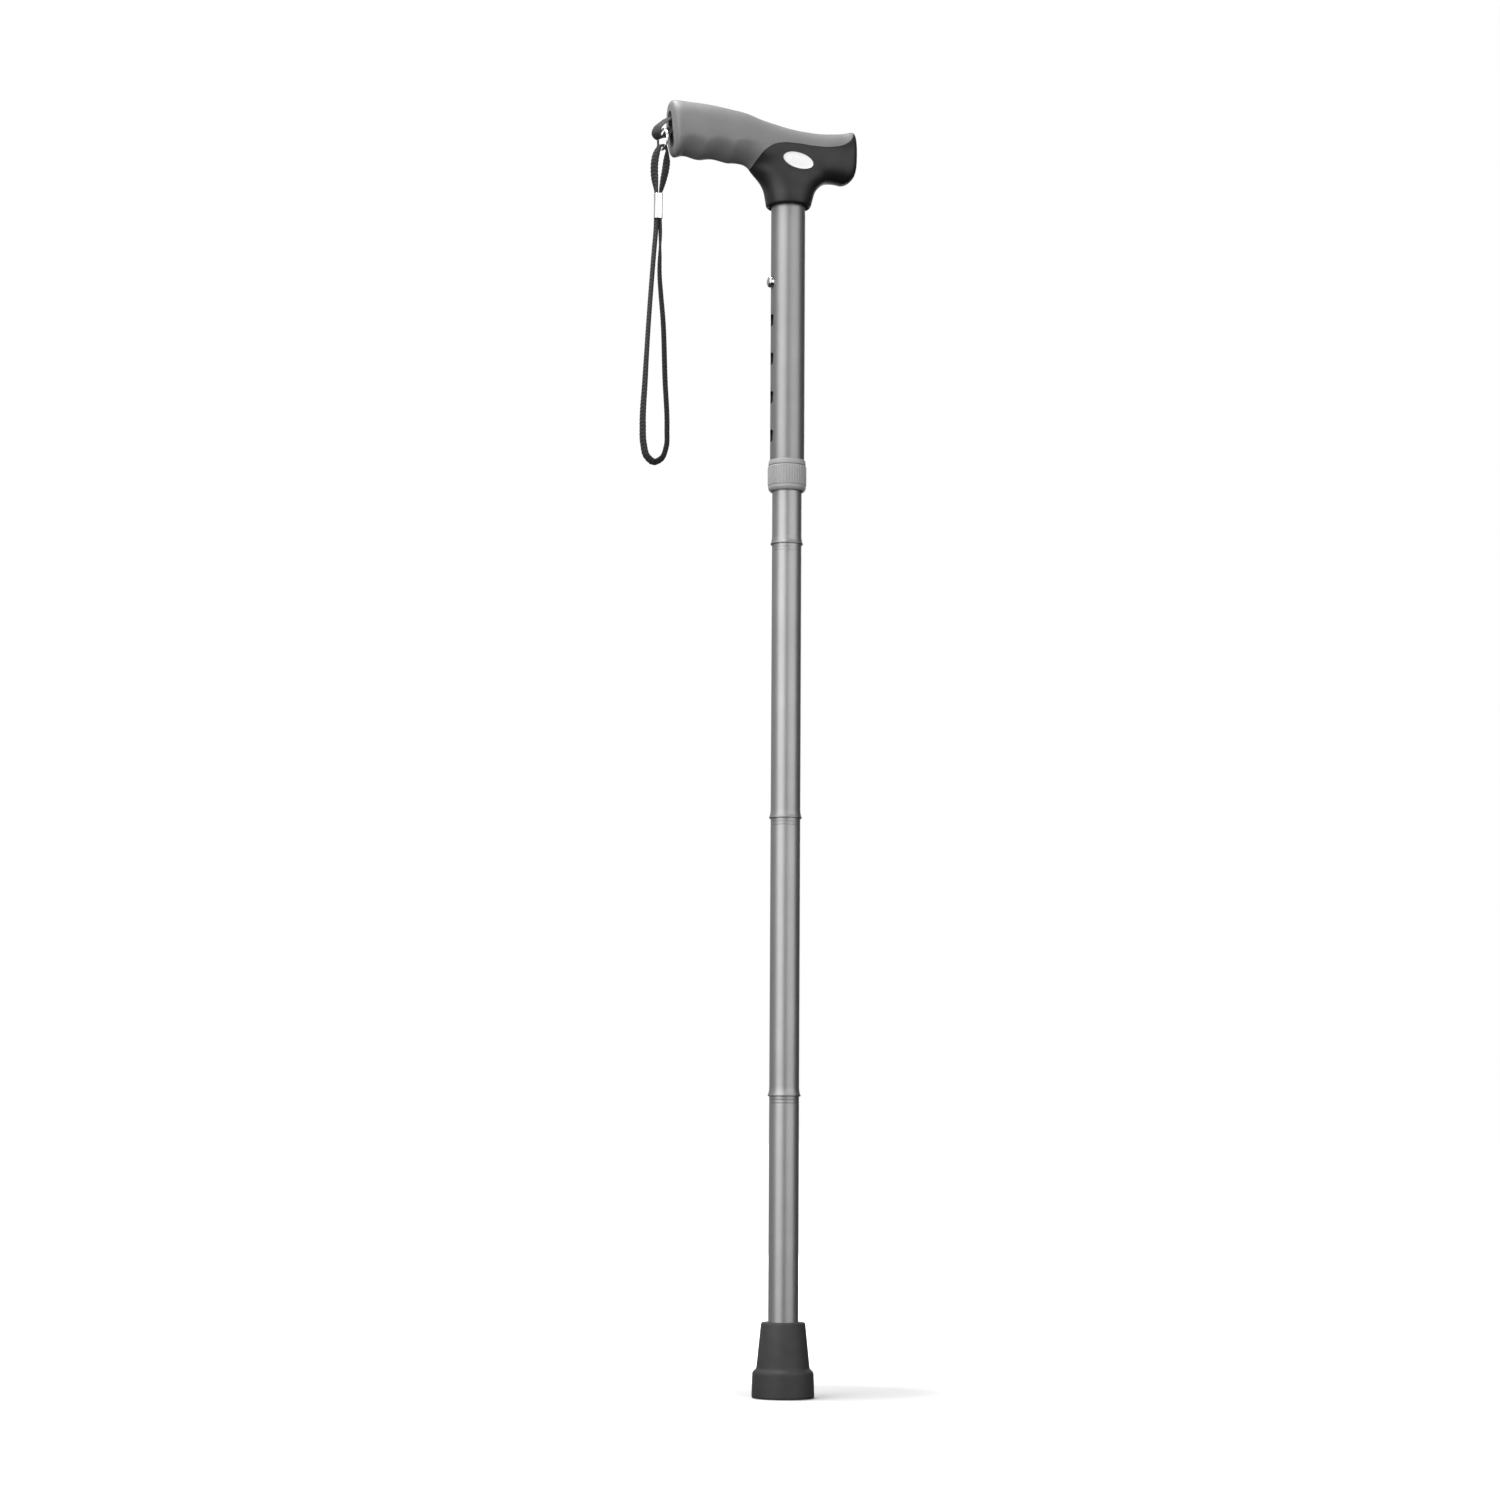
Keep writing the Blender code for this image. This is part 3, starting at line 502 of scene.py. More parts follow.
def make_ferrule():
    """The bright sleeve: rolled ends, and two crimp dents that run round it."""
    lowest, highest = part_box("strap_ferrule")
    size = (highest - lowest) / MM
    base, top = lowest.z / MM, highest.z / MM
    wall = 0.35
    waist = 0.12
    from_end = ((0.35, 0.0), (0.08, 0.15), (0.0, 0.5), (waist, 1.0), (waist, 3.6), (0.2, 4.6), (waist, 5.6))
    levels = [(shrink, base + rise) for shrink, rise in from_end]
    levels += [(shrink, top - drop) for shrink, drop in reversed(from_end)]
    levels += [(wall + waist, top - 0.1), (wall + waist, base + 0.1)]
    rings = []
    for shrink, height in levels:
        section = oval_section(size.x - 2 * shrink, size.y - 2 * shrink, power=0.6, count=48)
        rings.append([(FERRULE_X + across, through, height) for across, through in section])
    ferrule = lofted("strap_sleeve", rings, closed=True)
    stand_in(ferrule, plated("satin sleeve plating", 0.86, 0.3), "strap", "strap_ferrule")
    return ferrule


RING_TURN = math.radians(13)
RING_TURNS = 1.88
RING_START = 0.62


def make_ring():
    """A split ring: nearly two turns of wire pressed together, which step across half way round."""
    lowest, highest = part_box("split_ring")
    centre = (lowest + highest) / 2 / MM
    wire = 0.54
    radius = (highest.z - lowest.z) / 2 / MM - wire
    across = Vector((-math.sin(RING_TURN), math.cos(RING_TURN), 0))
    normal = Vector((math.cos(RING_TURN), math.sin(RING_TURN), 0))
    steps = 140
    section = 14
    step_start, step_length = 0.42, 0.16
    turn_gap = 1.9
    flatness = 0.98
    rings = []
    for i in range(steps + 1):
        part = i / steps
        angle = math.tau * (RING_START + RING_TURNS * part)
        side = (smooth_step((part - step_start) / step_length) - 0.5) * wire * turn_gap
        out = across * math.cos(angle) + Vector((0, 0, 1)) * math.sin(angle)
        wire_centre = centre + out * radius + normal * side
        from_end = min(part, 1 - part) * steps
        size = wire * (1 if from_end > 2 else 0.55 + 0.22 * from_end)
        rings.append([wire_centre + out * (size * math.cos(math.tau * k / section))
                      + normal * (size * flatness * math.sin(math.tau * k / section))
                      for k in range(section)])
    ring = lofted("split_ring_wire", rings)
    stand_in(ring, plated("bright plating", 0.82, 0.1), "ring", "split_ring")


RIBBON_THICKNESS = 0.9
RIBBON_TURN = math.radians(36)
RIBBON_TURN_START_X = -73.5
RIBBON_TURN_LENGTH = 6.0


def make_strap_tab():
    """The sewn ribbon from the pin in the handle's slot round the ring. It turns as it leaves the slot."""
    pin = middle("strap_anchor_pin")
    lowest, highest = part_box("strap_tab")
    route = [(pin.x + 2.6, 0, pin.z + 0.2), (pin.x + 1.2, 0, pin.z + 2.4), (-72.8, 0, 815.2),
             (-76.4, 0, 818.2), (-80.2, 0, 817.8), (-84.8, 0, 814.6), (-88.6, 0, 810.6), (-89.5, 0, 806.8),
             (-87.5, 0, 804.5), (-84.2, 0, 804.8), (-81.3, 0, 808.8), (-78.6, 0, 812.2), (-75.8, 0, 812.4),
             (-73.4, 0, 809.4), (pin.x - 1.0, 0, pin.z - 2.7), (pin.x + 1.6, 0, pin.z - 2.2)]
    centres = smooth_route(route, 0.5, closed=True)
    lengths = lengths_along(centres)
    section = oval_section((highest.y - lowest.y) / MM, RIBBON_THICKNESS)
    rings = []
    for i, centre in enumerate(centres):
        along = (centres[(i + 1) % len(centres)] - centres[i - 1]).normalized()
        turn = RIBBON_TURN * smooth_step((RIBBON_TURN_START_X - centre.x) / RIBBON_TURN_LENGTH)
        wide = Vector((-math.sin(turn), math.cos(turn), 0))
        wide = (wide - along * along.dot(wide)).normalized()
        deep = along.cross(wide)
        ring = []
        for k, (across, through) in enumerate(section):
            swell = yarn_swell(lengths[i], k, len(section), RIBBON_YARN_RISE)
            ring.append(centre + wide * across + deep * through * swell)
        rings.append(ring)
    tab = lofted("strap_ribbon", rings, closed=True)
    add_braid_uv(tab, lengths, len(section))
    stand_in(tab, braided("ribbon weave", 0.006, 0.026, 1.2), "handle_section", "strap_tab")


# Handle.

GRIP_REAR_X = -79.2
BEAK_X = 44.7

# Rounded ends of the bar: distance from the end, then how far the top, the underside and the sides draw in.
REAR_ROUNDING = (
    (0.0, 3.6, 3.6, 3.4), (0.5, 2.0, 2.0, 1.9), (1.6, 0.7, 0.7, 0.8), (3.2, 0.1, 0.1, 0.2),
    (5.0, 0.0, 0.0, 0.0),
)
BEAK_ROUNDING = (
    (0.0, 2.4, 7.4, 4.6), (0.5, 1.2, 5.2, 2.6), (1.6, 0.4, 3.2, 1.1), (3.2, 0.0, 1.6, 0.3),
    (5.0, 0.0, 0.7, 0.0), (8.0, 0.0, 0.0, 0.0),
)

# Height of the bar's top and underside, and half its width, along X.
HANDLE_TOP_LINE = (
    (-79.2, 830.2), (-70, 829.4), (-60, 828.9), (-50, 828.0), (-40, 826.6), (-30, 825.0), (-20, 821.7),
    (-10, 819.2), (0, 817.1), (10, 816.0), (20, 815.6), (30, 816.3), (38, 817.6), (44.7, 819.8),
)
HANDLE_BOTTOM_LINE = (
    (-79.2, 791.4), (-72, 793.4), (-62, 791.6), (-52, 792.8), (-42, 791.2), (-34, 791.0), (-20, 788.6),
    (0, 785.6), (14, 783.6), (24, 783.2), (30, 783.7), (38, 782.8), (44.7, 783.8),
)
HANDLE_HALF_WIDTH = (
    (-79.2, 14.2), (-60, 14.8), (-40, 14.6), (-20, 14.3), (0, 14.6), (15, 14.2), (30, 13.0), (44.7, 11.6),
)
TOP_ROUNDNESS = 2.05
UNDERSIDE_ROUNDNESS = 2.85

# The rear end slopes: above LEAN_LEVEL it stands further back, below it further forward.
REAR_LEAN = 1.4
LEAN_START_X, LEAN_LENGTH = -60, 15
LEAN_LEVEL, LEAN_HEIGHT = 805, 15

# The neck, as (height, rear x, front x, half width).
NECK_OUTLINE = (
    (764.4, -13.9, 13.9, 13.9), (765.2, -14.6, 14.6, 14.6), (768.8, -15.1, 15.5, 15.2),
    (771.5, -15.7, 16.3, 15.3), (774.3, -16.2, 17.1, 15.3), (777.0, -17.4, 18.5, 15.2),
    (780.0, -19.2, 21.0, 15.0), (784.0, -22.9, 26.0, 14.8), (788.0, -27.2, 27.5, 14.4),
    (798.0, -26.0, 24.0, 12.0),
)

# The line between core and grip, seen from the side, from the beak to the neck.
SEAM = (
    (47.6, 827.0), (44.6, 821.6), (42.9, 816.0), (40.1, 811.0), (35.3, 807.1), (27.6, 804.5), (14.8, 803.5),
    (1.1, 804.1), (-7.2, 804.0), (-14.1, 802.1), (-20.1, 797.7), (-24.8, 790.8), (-28.8, 782.4),
    (-33.1, 771.7),
)
GRIP_GAP = 0.3

# Finger hollows in the grip's sides. The upper edge is lower between the arches than at them.
FINGER_HOLLOWS = (-68.5, -49.5, -32.0)
HOLLOW_LENGTH = 19.0
HOLLOW_EDGE = (800.2, 804.6)
HOLLOW_DEPTH = 8.0
HOLLOW_SLOPE_HEIGHT = 17.0
HOLLOW_SLOPE_POWER = 1.4
HOLLOW_REAR, HOLLOW_FRONT = -77.6, -19.0
HOLLOW_REAR_FADE, HOLLOW_FRONT_FADE = 4.0, 12.0
THINNEST_SHARE = 0.35


def hollow_depth(x, z):
    """How far the finger hollows cut into the side: three arches in a row, deeper towards the bottom."""
    arch = max(0.0, *(1 - (2 * (x - centre) / HOLLOW_LENGTH) ** 2 for centre in FINGER_HOLLOWS))
    edge = HOLLOW_EDGE[0] + (HOLLOW_EDGE[1] - HOLLOW_EDGE[0]) * arch ** 0.6
    ends = (smooth_step((x - HOLLOW_REAR) / HOLLOW_REAR_FADE)
            * smooth_step((HOLLOW_FRONT - x) / HOLLOW_FRONT_FADE))
    slope = min(max((edge - z) / HOLLOW_SLOPE_HEIGHT, 0.0), 1.0) ** HOLLOW_SLOPE_POWER
    return HOLLOW_DEPTH * (0.82 + 0.18 * arch) * ends * slope


def handle_ring(x, top_inset=0.0, bottom_inset=0.0, side_inset=0.0):
    """The bar's outline at x: a rounded top, a squarer underside, and the finger hollows in its sides."""
    top = smooth_value(HANDLE_TOP_LINE, x) - top_inset
    bottom = smooth_value(HANDLE_BOTTOM_LINE, x) + bottom_inset
    half_width = smooth_value(HANDLE_HALF_WIDTH, x) - side_inset
    centre = (top + bottom) / 2
    lean = REAR_LEAN * smooth_step((LEAN_START_X - x) / LEAN_LENGTH)
    count = 96
    ring = []
    for i in range(count):
        angle = math.tau * i / count
        power = 2 / (TOP_ROUNDNESS if math.sin(angle) > 0 else UNDERSIDE_ROUNDNESS)
        across = half_width * signed_power(math.cos(angle), power)
        z = centre + (top - centre) * signed_power(math.sin(angle), power)
        across = math.copysign(max(abs(across) - hollow_depth(x, z), THINNEST_SHARE * abs(across)), across)
        ring.append((x - lean * (z - LEAN_LEVEL) / LEAN_HEIGHT, across, z))
    return ring


def columns(rows):
    """Each further column of a table, as a curve over its first one."""
    return [tuple((row[0], row[k]) for row in rows) for k in range(1, len(rows[0]))]


def finer(rows, steps=4):
    """The table's rows with more rows between them, on smooth curves."""
    curves = columns(rows)
    made = []
    for before, after in zip(rows, rows[1:]):
        for i in range(steps):
            at = before[0] + (after[0] - before[0]) * i / steps
            made.append((at, *(smooth_value(curve, at) for curve in curves)))
    return made + [rows[-1]]


def make_bar(name):
    """The handle's bar, from its rounded rear end to the end of the beak."""
    rear = [(GRIP_REAR_X + back, *insets) for back, *insets in finer(REAR_ROUNDING)]
    beak = [(BEAK_X - back, *insets) for back, *insets in reversed(finer(BEAK_ROUNDING))]
    first, last = rear[-1][0], beak[0][0]
    steps = 96
    body = [(first + (last - first) * i / steps,) for i in range(1, steps)]
    return lofted(name, [handle_ring(*row) for row in rear + body + beak])


def make_neck():
    """The neck that comes down from the bar round the tube, with a rounded rim at its mouth."""
    outlines = columns(NECK_OUTLINE)
    base, top = NECK_OUTLINE[0][0], NECK_OUTLINE[-1][0]
    rim = 2
    steps = 44
    count = 72
    heights = [base, base + 0.3, base + 0.7, base + 1.2]
    heights += [base + rim + (top - base - rim) * i / steps for i in range(steps + 1)]
    rings = []
    for height in heights:
        left, right, half_width = (smooth_value(outline, height) for outline in outlines)
        centre, half = (left + right) / 2, (right - left) / 2
        rings.append([(centre + half * math.cos(math.tau * i / count),
                       half_width * math.sin(math.tau * i / count), height) for i in range(count)])
    return lofted("neck", rings)


def join(obj, other):
    """Adds the other object's mesh to obj's own and removes the other object."""
    bm = bmesh.new()
    bm.from_mesh(obj.data)
    bm.from_mesh(other.data)
    bm.to_mesh(obj.data)
    bm.free()
    bpy.data.objects.remove(other)


# Where neck and bar run into each other.
BLEND_LOW, BLEND_HIGH = 772.0, 803.0
BLEND_REAR, BLEND_FRONT = -40.0, 36.0


def make_handle_shape(name):
    """Bar and neck run together into one smooth shape, before it is split into grip and core."""
    bar = make_bar(name)
    join(bar, make_neck())
    remesh = bar.modifiers.new("Remesh", "REMESH")
    remesh.mode = "VOXEL"
    remesh.voxel_size = 0.75 * MM
    smooth = bar.modifiers.new("Smooth", "SMOOTH")
    smooth.factor = 0.6
    smooth.iterations = 16
    apply_modifiers(bar)
    blended = bar.vertex_groups.new(name="blended")
    inside = [vertex.index for vertex in bar.data.vertices
              if BLEND_LOW * MM < vertex.co.z < BLEND_HIGH * MM
              and BLEND_REAR * MM < vertex.co.x < BLEND_FRONT * MM]
    blended.add(inside, 1.0, "REPLACE")
    blend = bar.modifiers.new("Blend", "SMOOTH")
    blend.vertex_group = "blended"
    blend.factor = 0.7
    blend.iterations = 90
    return apply_modifiers(bar)


# A region's far sides, which stand clear of the handle.
REGION_REAR, REGION_TOP, REGION_HALF_WIDTH = -100.0, 860.0, 30.0


def seam_region(offset):
    """Everything above the seam between grip and core, moved away from the core by offset."""
    line = [(point.x, point.z) for point in smooth_route([(x, 0, z) for x, z in SEAM], 1.2)]
    moved = []
    for i, (x, z) in enumerate(line):
        before, after = line[max(i - 1, 0)], line[min(i + 1, len(line) - 1)]
        along = Vector((after[0] - before[0], after[1] - before[1])).normalized()
        moved.append((x + along.y * offset, z - along.x * offset))
    outline = moved + [(REGION_REAR, moved[-1][1]), (REGION_REAR, REGION_TOP), (moved[0][0], REGION_TOP)]
    sides = (-REGION_HALF_WIDTH, REGION_HALF_WIDTH)
    return lofted("seam_region", [[(x, y, z) for x, z in outline] for y in sides])


SLOT_HALF_WIDTH = 4.4
SLOT_LOW, SLOT_HIGH = 798.4, 822.6
SLOT_DEPTH_X = -65.5


def slot_cutter():
    """The slot in the handle's rear end that the ribbon comes out of: upright, with round ends."""
    steps = 12
    outline = []
    for centre, start in ((SLOT_HIGH - SLOT_HALF_WIDTH, 0.0), (SLOT_LOW + SLOT_HALF_WIDTH, math.pi)):
        for i in range(steps + 1):
            angle = start + math.pi * i / steps
            outline.append((SLOT_HALF_WIDTH * math.cos(angle), centre + SLOT_HALF_WIDTH * math.sin(angle)))
    return lofted("slot_cutter", [[(x, y, z) for y, z in outline] for x in (GRIP_REAR_X - 5, SLOT_DEPTH_X)])


def bore_cutter():
    """The bore for the wide tube, with a wider mouth at the neck's rim."""
    base = low("handle_core")
    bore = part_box("handle_tube")[1].x / MM + 0.35
    mouth = 13.6
    top = high("handle_tube") + 0.3
    profile = [(0.01, base - 5), (mouth, base - 5), (mouth, base + 0.4), (mouth - 1.0, base + 1.4),
               (bore, base + 3.2), (bore, top), (0.01, top)]
    return lofted("bore_cutter", round_rings(profile))


# The core's spine inside the grip, as (x, height of its middle, half its height).
SPINE = (
    (-73.2, 810.8, 9.5), (-66.0, 810.8, 10.0), (-40.0, 808.5, 9.5), (-20.0, 803.5, 8.0), (-8.0, 798.5, 5.0),
)
SPINE_HALF_WIDTH = 8.5


def spine(grow):
    """The core's hard spine inside the soft grip, larger all round by grow."""
    rings = []
    for i, (x, centre, half_height) in enumerate(SPINE):
        end = grow if i == 0 else 0.0
        rings.append(upright_ring(x - end, centre, SPINE_HALF_WIDTH + grow, half_height + grow, 32))
    return lofted("spine", rings)


BADGE_TILT = math.radians(12)
BADGE_HALF_LENGTH, BADGE_HALF_HEIGHT = 10.5, 5.5
BADGE_POCKET_DEPTH = 1.6


def badge_ring(y, grow):
    """The badge's tilted oval outline at y, larger all round by grow."""
    centre = middle("badge")
    count = 64
    ring = []
    for i in range(count):
        angle = math.tau * i / count
        u = (BADGE_HALF_LENGTH + grow) * math.cos(angle)
        v = (BADGE_HALF_HEIGHT + grow) * math.sin(angle)
        ring.append((centre.x + u * math.cos(BADGE_TILT) + v * math.sin(BADGE_TILT), y,
                     centre.z - u * math.sin(BADGE_TILT) + v * math.cos(BADGE_TILT)))
    return ring


def make_badge():
    """A blank oval badge: gently domed, with a thin raised rim."""
    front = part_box("badge")[0].y / MM
    levels = ((front + 1.3, -0.3), (front + 0.3, -0.3), (front + 0.05, -0.45), (front, -0.7),
              (front + 0.12, -0.95), (front + 0.15, -1.4), (front + 0.05, -3.0), (front, -5.0))
    badge = lofted("blank_badge", [badge_ring(y, grow) for y, grow in levels])
    white = moulded("white badge", 0.74, 0.82, 0.24, grain=1.2, depth=0.004, Coat_Weight=0.3)
    stand_in(badge, white, "handle_section", "badge")


def make_handle():
    """The hard core and the soft grip, parted along the seam with a fine gap between them."""
    core = make_handle_shape("handle_hard_core")
    grip = core.copy()
    grip.data = core.data.copy()
    grip.name = "handle_soft_grip"
    bpy.context.scene.collection.objects.link(grip)
    boolean(core, seam_region(0.0))
    boolean(core, spine(0.0), "UNION")
    boolean(core, bore_cutter())
    boolean(core, slot_cutter())
    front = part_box("badge")[0].y / MM
    pocket = [badge_ring(y, 0.0) for y in (front - 5, front + BADGE_POCKET_DEPTH)]
    boolean(core, lofted("badge_pocket", pocket))
    boolean(grip, seam_region(GRIP_GAP), "INTERSECT")
    boolean(grip, spine(GRIP_GAP))
    boolean(grip, slot_cutter())
    black = moulded("black handle plastic", 0.009, 0.018, 0.45, grain=0.3, depth=0.02,
                    Specular_IOR_Level=0.38)
    grey = moulded("soft grey rubber", 0.146, 0.182, 0.43, grain=0.4, depth=0.03, Sheen_Weight=0.1)
    stand_in(core, black, "handle_section", "handle_core")
    stand_in(grip, grey, "handle_section", "handle_grip")


# Shaft.

SHAFT_RADIUS = 9.525
SHAFT_BORE = 8.325
BELL_RADIUS = 10.5
BELL_BORE = 9.825
HANDLE_TUBE_WALL = 1.2
HOLE_COUNT = 5
HOLE_PITCH = 25.4
HOLE_RADIUS = 4.2
CRIMP_DEPTH = 0.09


def crimps(joint):
    """Two shallow rings rolled into a tube just below a joint."""
    half_steps = 4
    spacing = 0.16
    points = []
    for below in (4.6, 2.6):
        for k in range(-half_steps, half_steps + 1):
            dent = CRIMP_DEPTH * 0.5 * (1 + math.cos(math.pi * k / half_steps))
            points.append((SHAFT_RADIUS - dent, joint - below + k * spacing))
    return points


def tube_rim(top):
    """The upper end of a narrow tube, with its edges broken, from the outside in."""
    return [(SHAFT_RADIUS, top - 0.25), (SHAFT_RADIUS - 0.25, top), (SHAFT_BORE + 0.2, top),
            (SHAFT_BORE, top - 0.2)]


def belled_profile(joint, top, upper_joint=None):
    """A narrow tube with a flared foot at its lower joint, and crimps below its upper joint if it has one."""
    bell = [(BELL_BORE, joint + 0.25), (9.95, joint), (10.2, joint), (10.38, joint + 0.12),
            (BELL_RADIUS, joint + 0.4), (BELL_RADIUS, joint + 0.7), (10.33, joint + 1.05),
            (10.16, joint + 1.5), (9.98, joint + 2.1), (9.8, joint + 3.0), (9.65, joint + 4.0),
            (9.56, joint + 5.0), (SHAFT_RADIUS, joint + 6.2)]
    outside = crimps(upper_joint) if upper_joint else []
    throat = [(SHAFT_BORE, joint + 3.8), (BELL_BORE, joint + 1.2)]
    return bell + outside + tube_rim(top) + throat


def hole_cutter(height):
    """A round cutter through the -X wall of a tube."""
    rings = [upright_ring(x, height, HOLE_RADIUS, HOLE_RADIUS, 40) for x in (-16.0, -6.0)]
    return lofted("hole_cutter", rings)


def paint_shade_on_hole_walls(tube, material):
    """The cut edges of the holes get their own material: dull and dark, a painted shade for the shade that
    falls into the holes.
    """
    tube.data.materials.append(material)
    lowest, highest = low("height_tube") + 20, high("handle_tube") - 5
    for polygon in tube.data.polygons:
        out = Vector((polygon.center.x, polygon.center.y, 0)).normalized()
        cut = abs(polygon.normal.dot(out)) < 0.5 and abs(polygon.normal.z) < 0.999
        if cut and polygon.center.x < 0 and lowest < polygon.center.z / MM < highest:
            polygon.material_index = 1


def make_shaft():
    """The four narrow tubes, the wide tube with its row of holes, and the button in the top hole."""
    # Painted shade: the hole walls' dark material darkens the holes as shade would.
    edges = moulded("painted hole shade", 0.006, 0.012, 0.7)
    joints = [low(node) for node in ("lower_middle_tube", "upper_middle_tube", "height_tube")]
    anodise = anodised("grey anodised tube", 0.3, 0.34, 0.42)
    base = low("lower_tube")
    straight = [(SHAFT_BORE, base), (SHAFT_RADIUS - 0.2, base), (SHAFT_RADIUS, base + 0.2),
                *crimps(joints[0]), *tube_rim(high("lower_tube"))]
    stand_in(turned("shaft_lower", straight), anodise, "lower_section", "lower_tube")
    for i, part in enumerate(("lower_middle", "upper_middle")):
        tube = turned("shaft_" + part, belled_profile(joints[i], high(part + "_tube"), joints[i + 1]))
        stand_in(tube, anodise, part + "_section", part + "_tube")
    button = middle("snap_button").z
    inner = turned("shaft_height", belled_profile(joints[2], high("height_tube")))
    boolean(inner, hole_cutter(button))
    stand_in(inner, anodise, "height_section", "height_tube")
    paint_shade_on_hole_walls(inner, edges)
    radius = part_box("handle_tube")[1].y / MM
    bore = radius - HANDLE_TUBE_WALL
    base, top = low("handle_tube"), high("handle_tube")
    outer = turned("shaft_handle", rounded([(bore, base), (radius, base), (radius, top), (bore, top)], 0.3))
    for i in range(HOLE_COUNT):
        boolean(outer, hole_cutter(button - HOLE_PITCH * i))
    wide = anodised("grey handle tube", 0.25, 0.29, 0.44)
    stand_in(outer, wide, "handle_section", "handle_tube")
    paint_shade_on_hole_walls(outer, edges)
    make_button(button)
    make_button_spring(button)


def make_button(height):
    """A domed steel button with a flange behind the tube wall."""
    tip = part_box("snap_button")[0].x / MM
    radius = 3.7
    dome_depth = 1.9
    flange = 4.2
    steps = 10
    profile = [(0.01, tip)]
    for i in range(1, steps + 1):
        angle = math.pi / 2 * i / steps
        profile.append((radius * math.sin(angle), tip + dome_depth * (1 - math.cos(angle))))
    profile += [(radius, -7.2), (flange, -6.9), (flange, -5.9), (0.01, -5.9)]
    button = lofted("button_dome", [upright_ring(x, height, size, size, 48) for size, x in profile])
    stand_in(button, plated("button steel", 0.62, 0.16), "button", "snap_button")


def make_button_spring(height):
    """The V spring behind the button."""
    lowest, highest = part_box("button_spring")
    bend = height - 24
    route = [(-5.2, 0, bend + 31), (-5.1, 0, bend + 20), (-4.2, 0, bend + 7), (-2.4, 0, bend + 1.4),
             (0.4, 0, bend), (3.2, 0, bend + 1.8), (5.3, 0, bend + 8), (7.0, 0, bend + 20),
             (7.2, 0, bend + 31)]
    centres = smooth_route(route, 1.0)
    half_thickness = 0.15
    wide = Vector((0, (highest.y - lowest.y) / 2 / MM, 0))
    rings = []
    for i, centre in enumerate(centres):
        along = heading(centres, i)
        deep = Vector((along.z, 0, -along.x)) * half_thickness
        rings.append([centre + deep + wide, centre + deep - wide, centre - deep - wide, centre - deep + wide])
    spring = lofted("button_leaf_spring", rings)
    dress(spring, plated("spring steel strip", 0.55, 0.24))
    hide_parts("button_spring")
    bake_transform(spring)


ELASTIC_SIZE = 5.0
NO_TWIST = ((0, 0), (1000, 0))


def make_elastic():
    """The elastic cord's runs. All but the top one reach across a joint; the top one moves with its body."""
    cover = braided("elastic cover", 0.02, 0.09, 3.0)
    bodies = ("lower_section", "lower_middle_section", "upper_middle_section", "height_section", None)
    for i, part in enumerate(("lower", "lower_middle", "upper_middle", "top")):
        node, body, next_body = "elastic_cord_" + part, bodies[i], bodies[i + 1]
        base, top = low(node), high(node)
        steps = max(2, round((top - base) / 2.0))
        centres = [Vector((0, 0, base + (top - base) * k / steps)) for k in range(steps + 1)]
        run, _ = make_braid(node + "_braid", centres, NO_TWIST, ELASTIC_SIZE, ELASTIC_SIZE, yarns=False)
        dress(run, cover)
        if next_body:
            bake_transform(run)
        else:
            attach(run, body)
        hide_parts(node)


# Collar.

def make_collar():
    """The smooth sleeve on the wide tube's end and the ribbed nut below it."""
    grey = moulded("grey collar plastic", 0.3, 0.36, 0.42, grain=0.35, depth=0.015)
    make_sleeve(grey)
    make_nut(grey)


def make_sleeve(material):
    """A socket for the wide tube above, and a narrower tail that goes down into the nut."""
    base, top = low("collet_sleeve"), high("collet_sleeve")
    web = low("handle_tube") - 0.3
    bore = 9.825
    tail = 11.25
    socket = 11.43
    outline = [(bore, base, 0.1), (tail, base, 0.3), (tail, web - 0.5, 0.1), (11.85, web - 0.5, 0.1),
               (12.1, web - 0.2, 0.2), (12.05, top - 1.6, 0.5), (11.8, top - 0.2, 0.4), (11.5, top, 0.1),
               (socket, top, 0.05), (socket, web + 0.05, 0.05), (bore, web + 0.05, 0.1)]
    collar = turned("collar_sleeve", rounded(outline, 0.2))
    stand_in(collar, material, "handle_section", "collet_sleeve")


NUT_RIBS = 42
POINTS_PER_RIB = 8
RIB_HEIGHT = 0.3


def make_nut(material):
    """The lock nut: a chamfered foot, a groove, and ribs that fade out at both ends."""
    base, top = low("lock_nut"), high("lock_nut")
    levels = ((9.95, 0, base + 0.15), (10.1, 0, base), (10.8, 0, base), (11.15, 0, base + 0.2),
              (11.55, 0, base + 0.65), (11.95, 0, base + 1.35), (12.15, 0, base + 2.1),
              (12.2, 0, base + 3.0), (12.0, 0, base + 3.45), (12.02, 0.2, base + 3.6),
              (12.28, 0.9, base + 3.9), (12.35, 1, base + 4.6), (12.35, 1, top - 1.3),
              (12.32, 0.9, top - 0.7), (12.2, 0.4, top - 0.2), (12.0, 0, top), (11.75, 0, top),
              (11.55, 0, top - 0.2), (11.55, 0, base + 3.8), (9.85, 0, base + 3.8), (9.85, 0, base + 0.3))
    count = NUT_RIBS * POINTS_PER_RIB
    rings = []
    for radius, amount, height in levels:
        ring = []
        for i in range(count):
            angle = math.tau * i / count
            rise = amount * RIB_HEIGHT * smooth_step(0.75 + math.cos(angle * NUT_RIBS)) - amount * 0.12
            ring.append(((radius + rise) * math.cos(angle), (radius + rise) * math.sin(angle), height))
        rings.append(ring)
    nut = lofted("ribbed_nut", rings, closed=True)
    stand_in(nut, material, "nut", "lock_nut")


# Foot.

TIP_FLOOR = 6.0


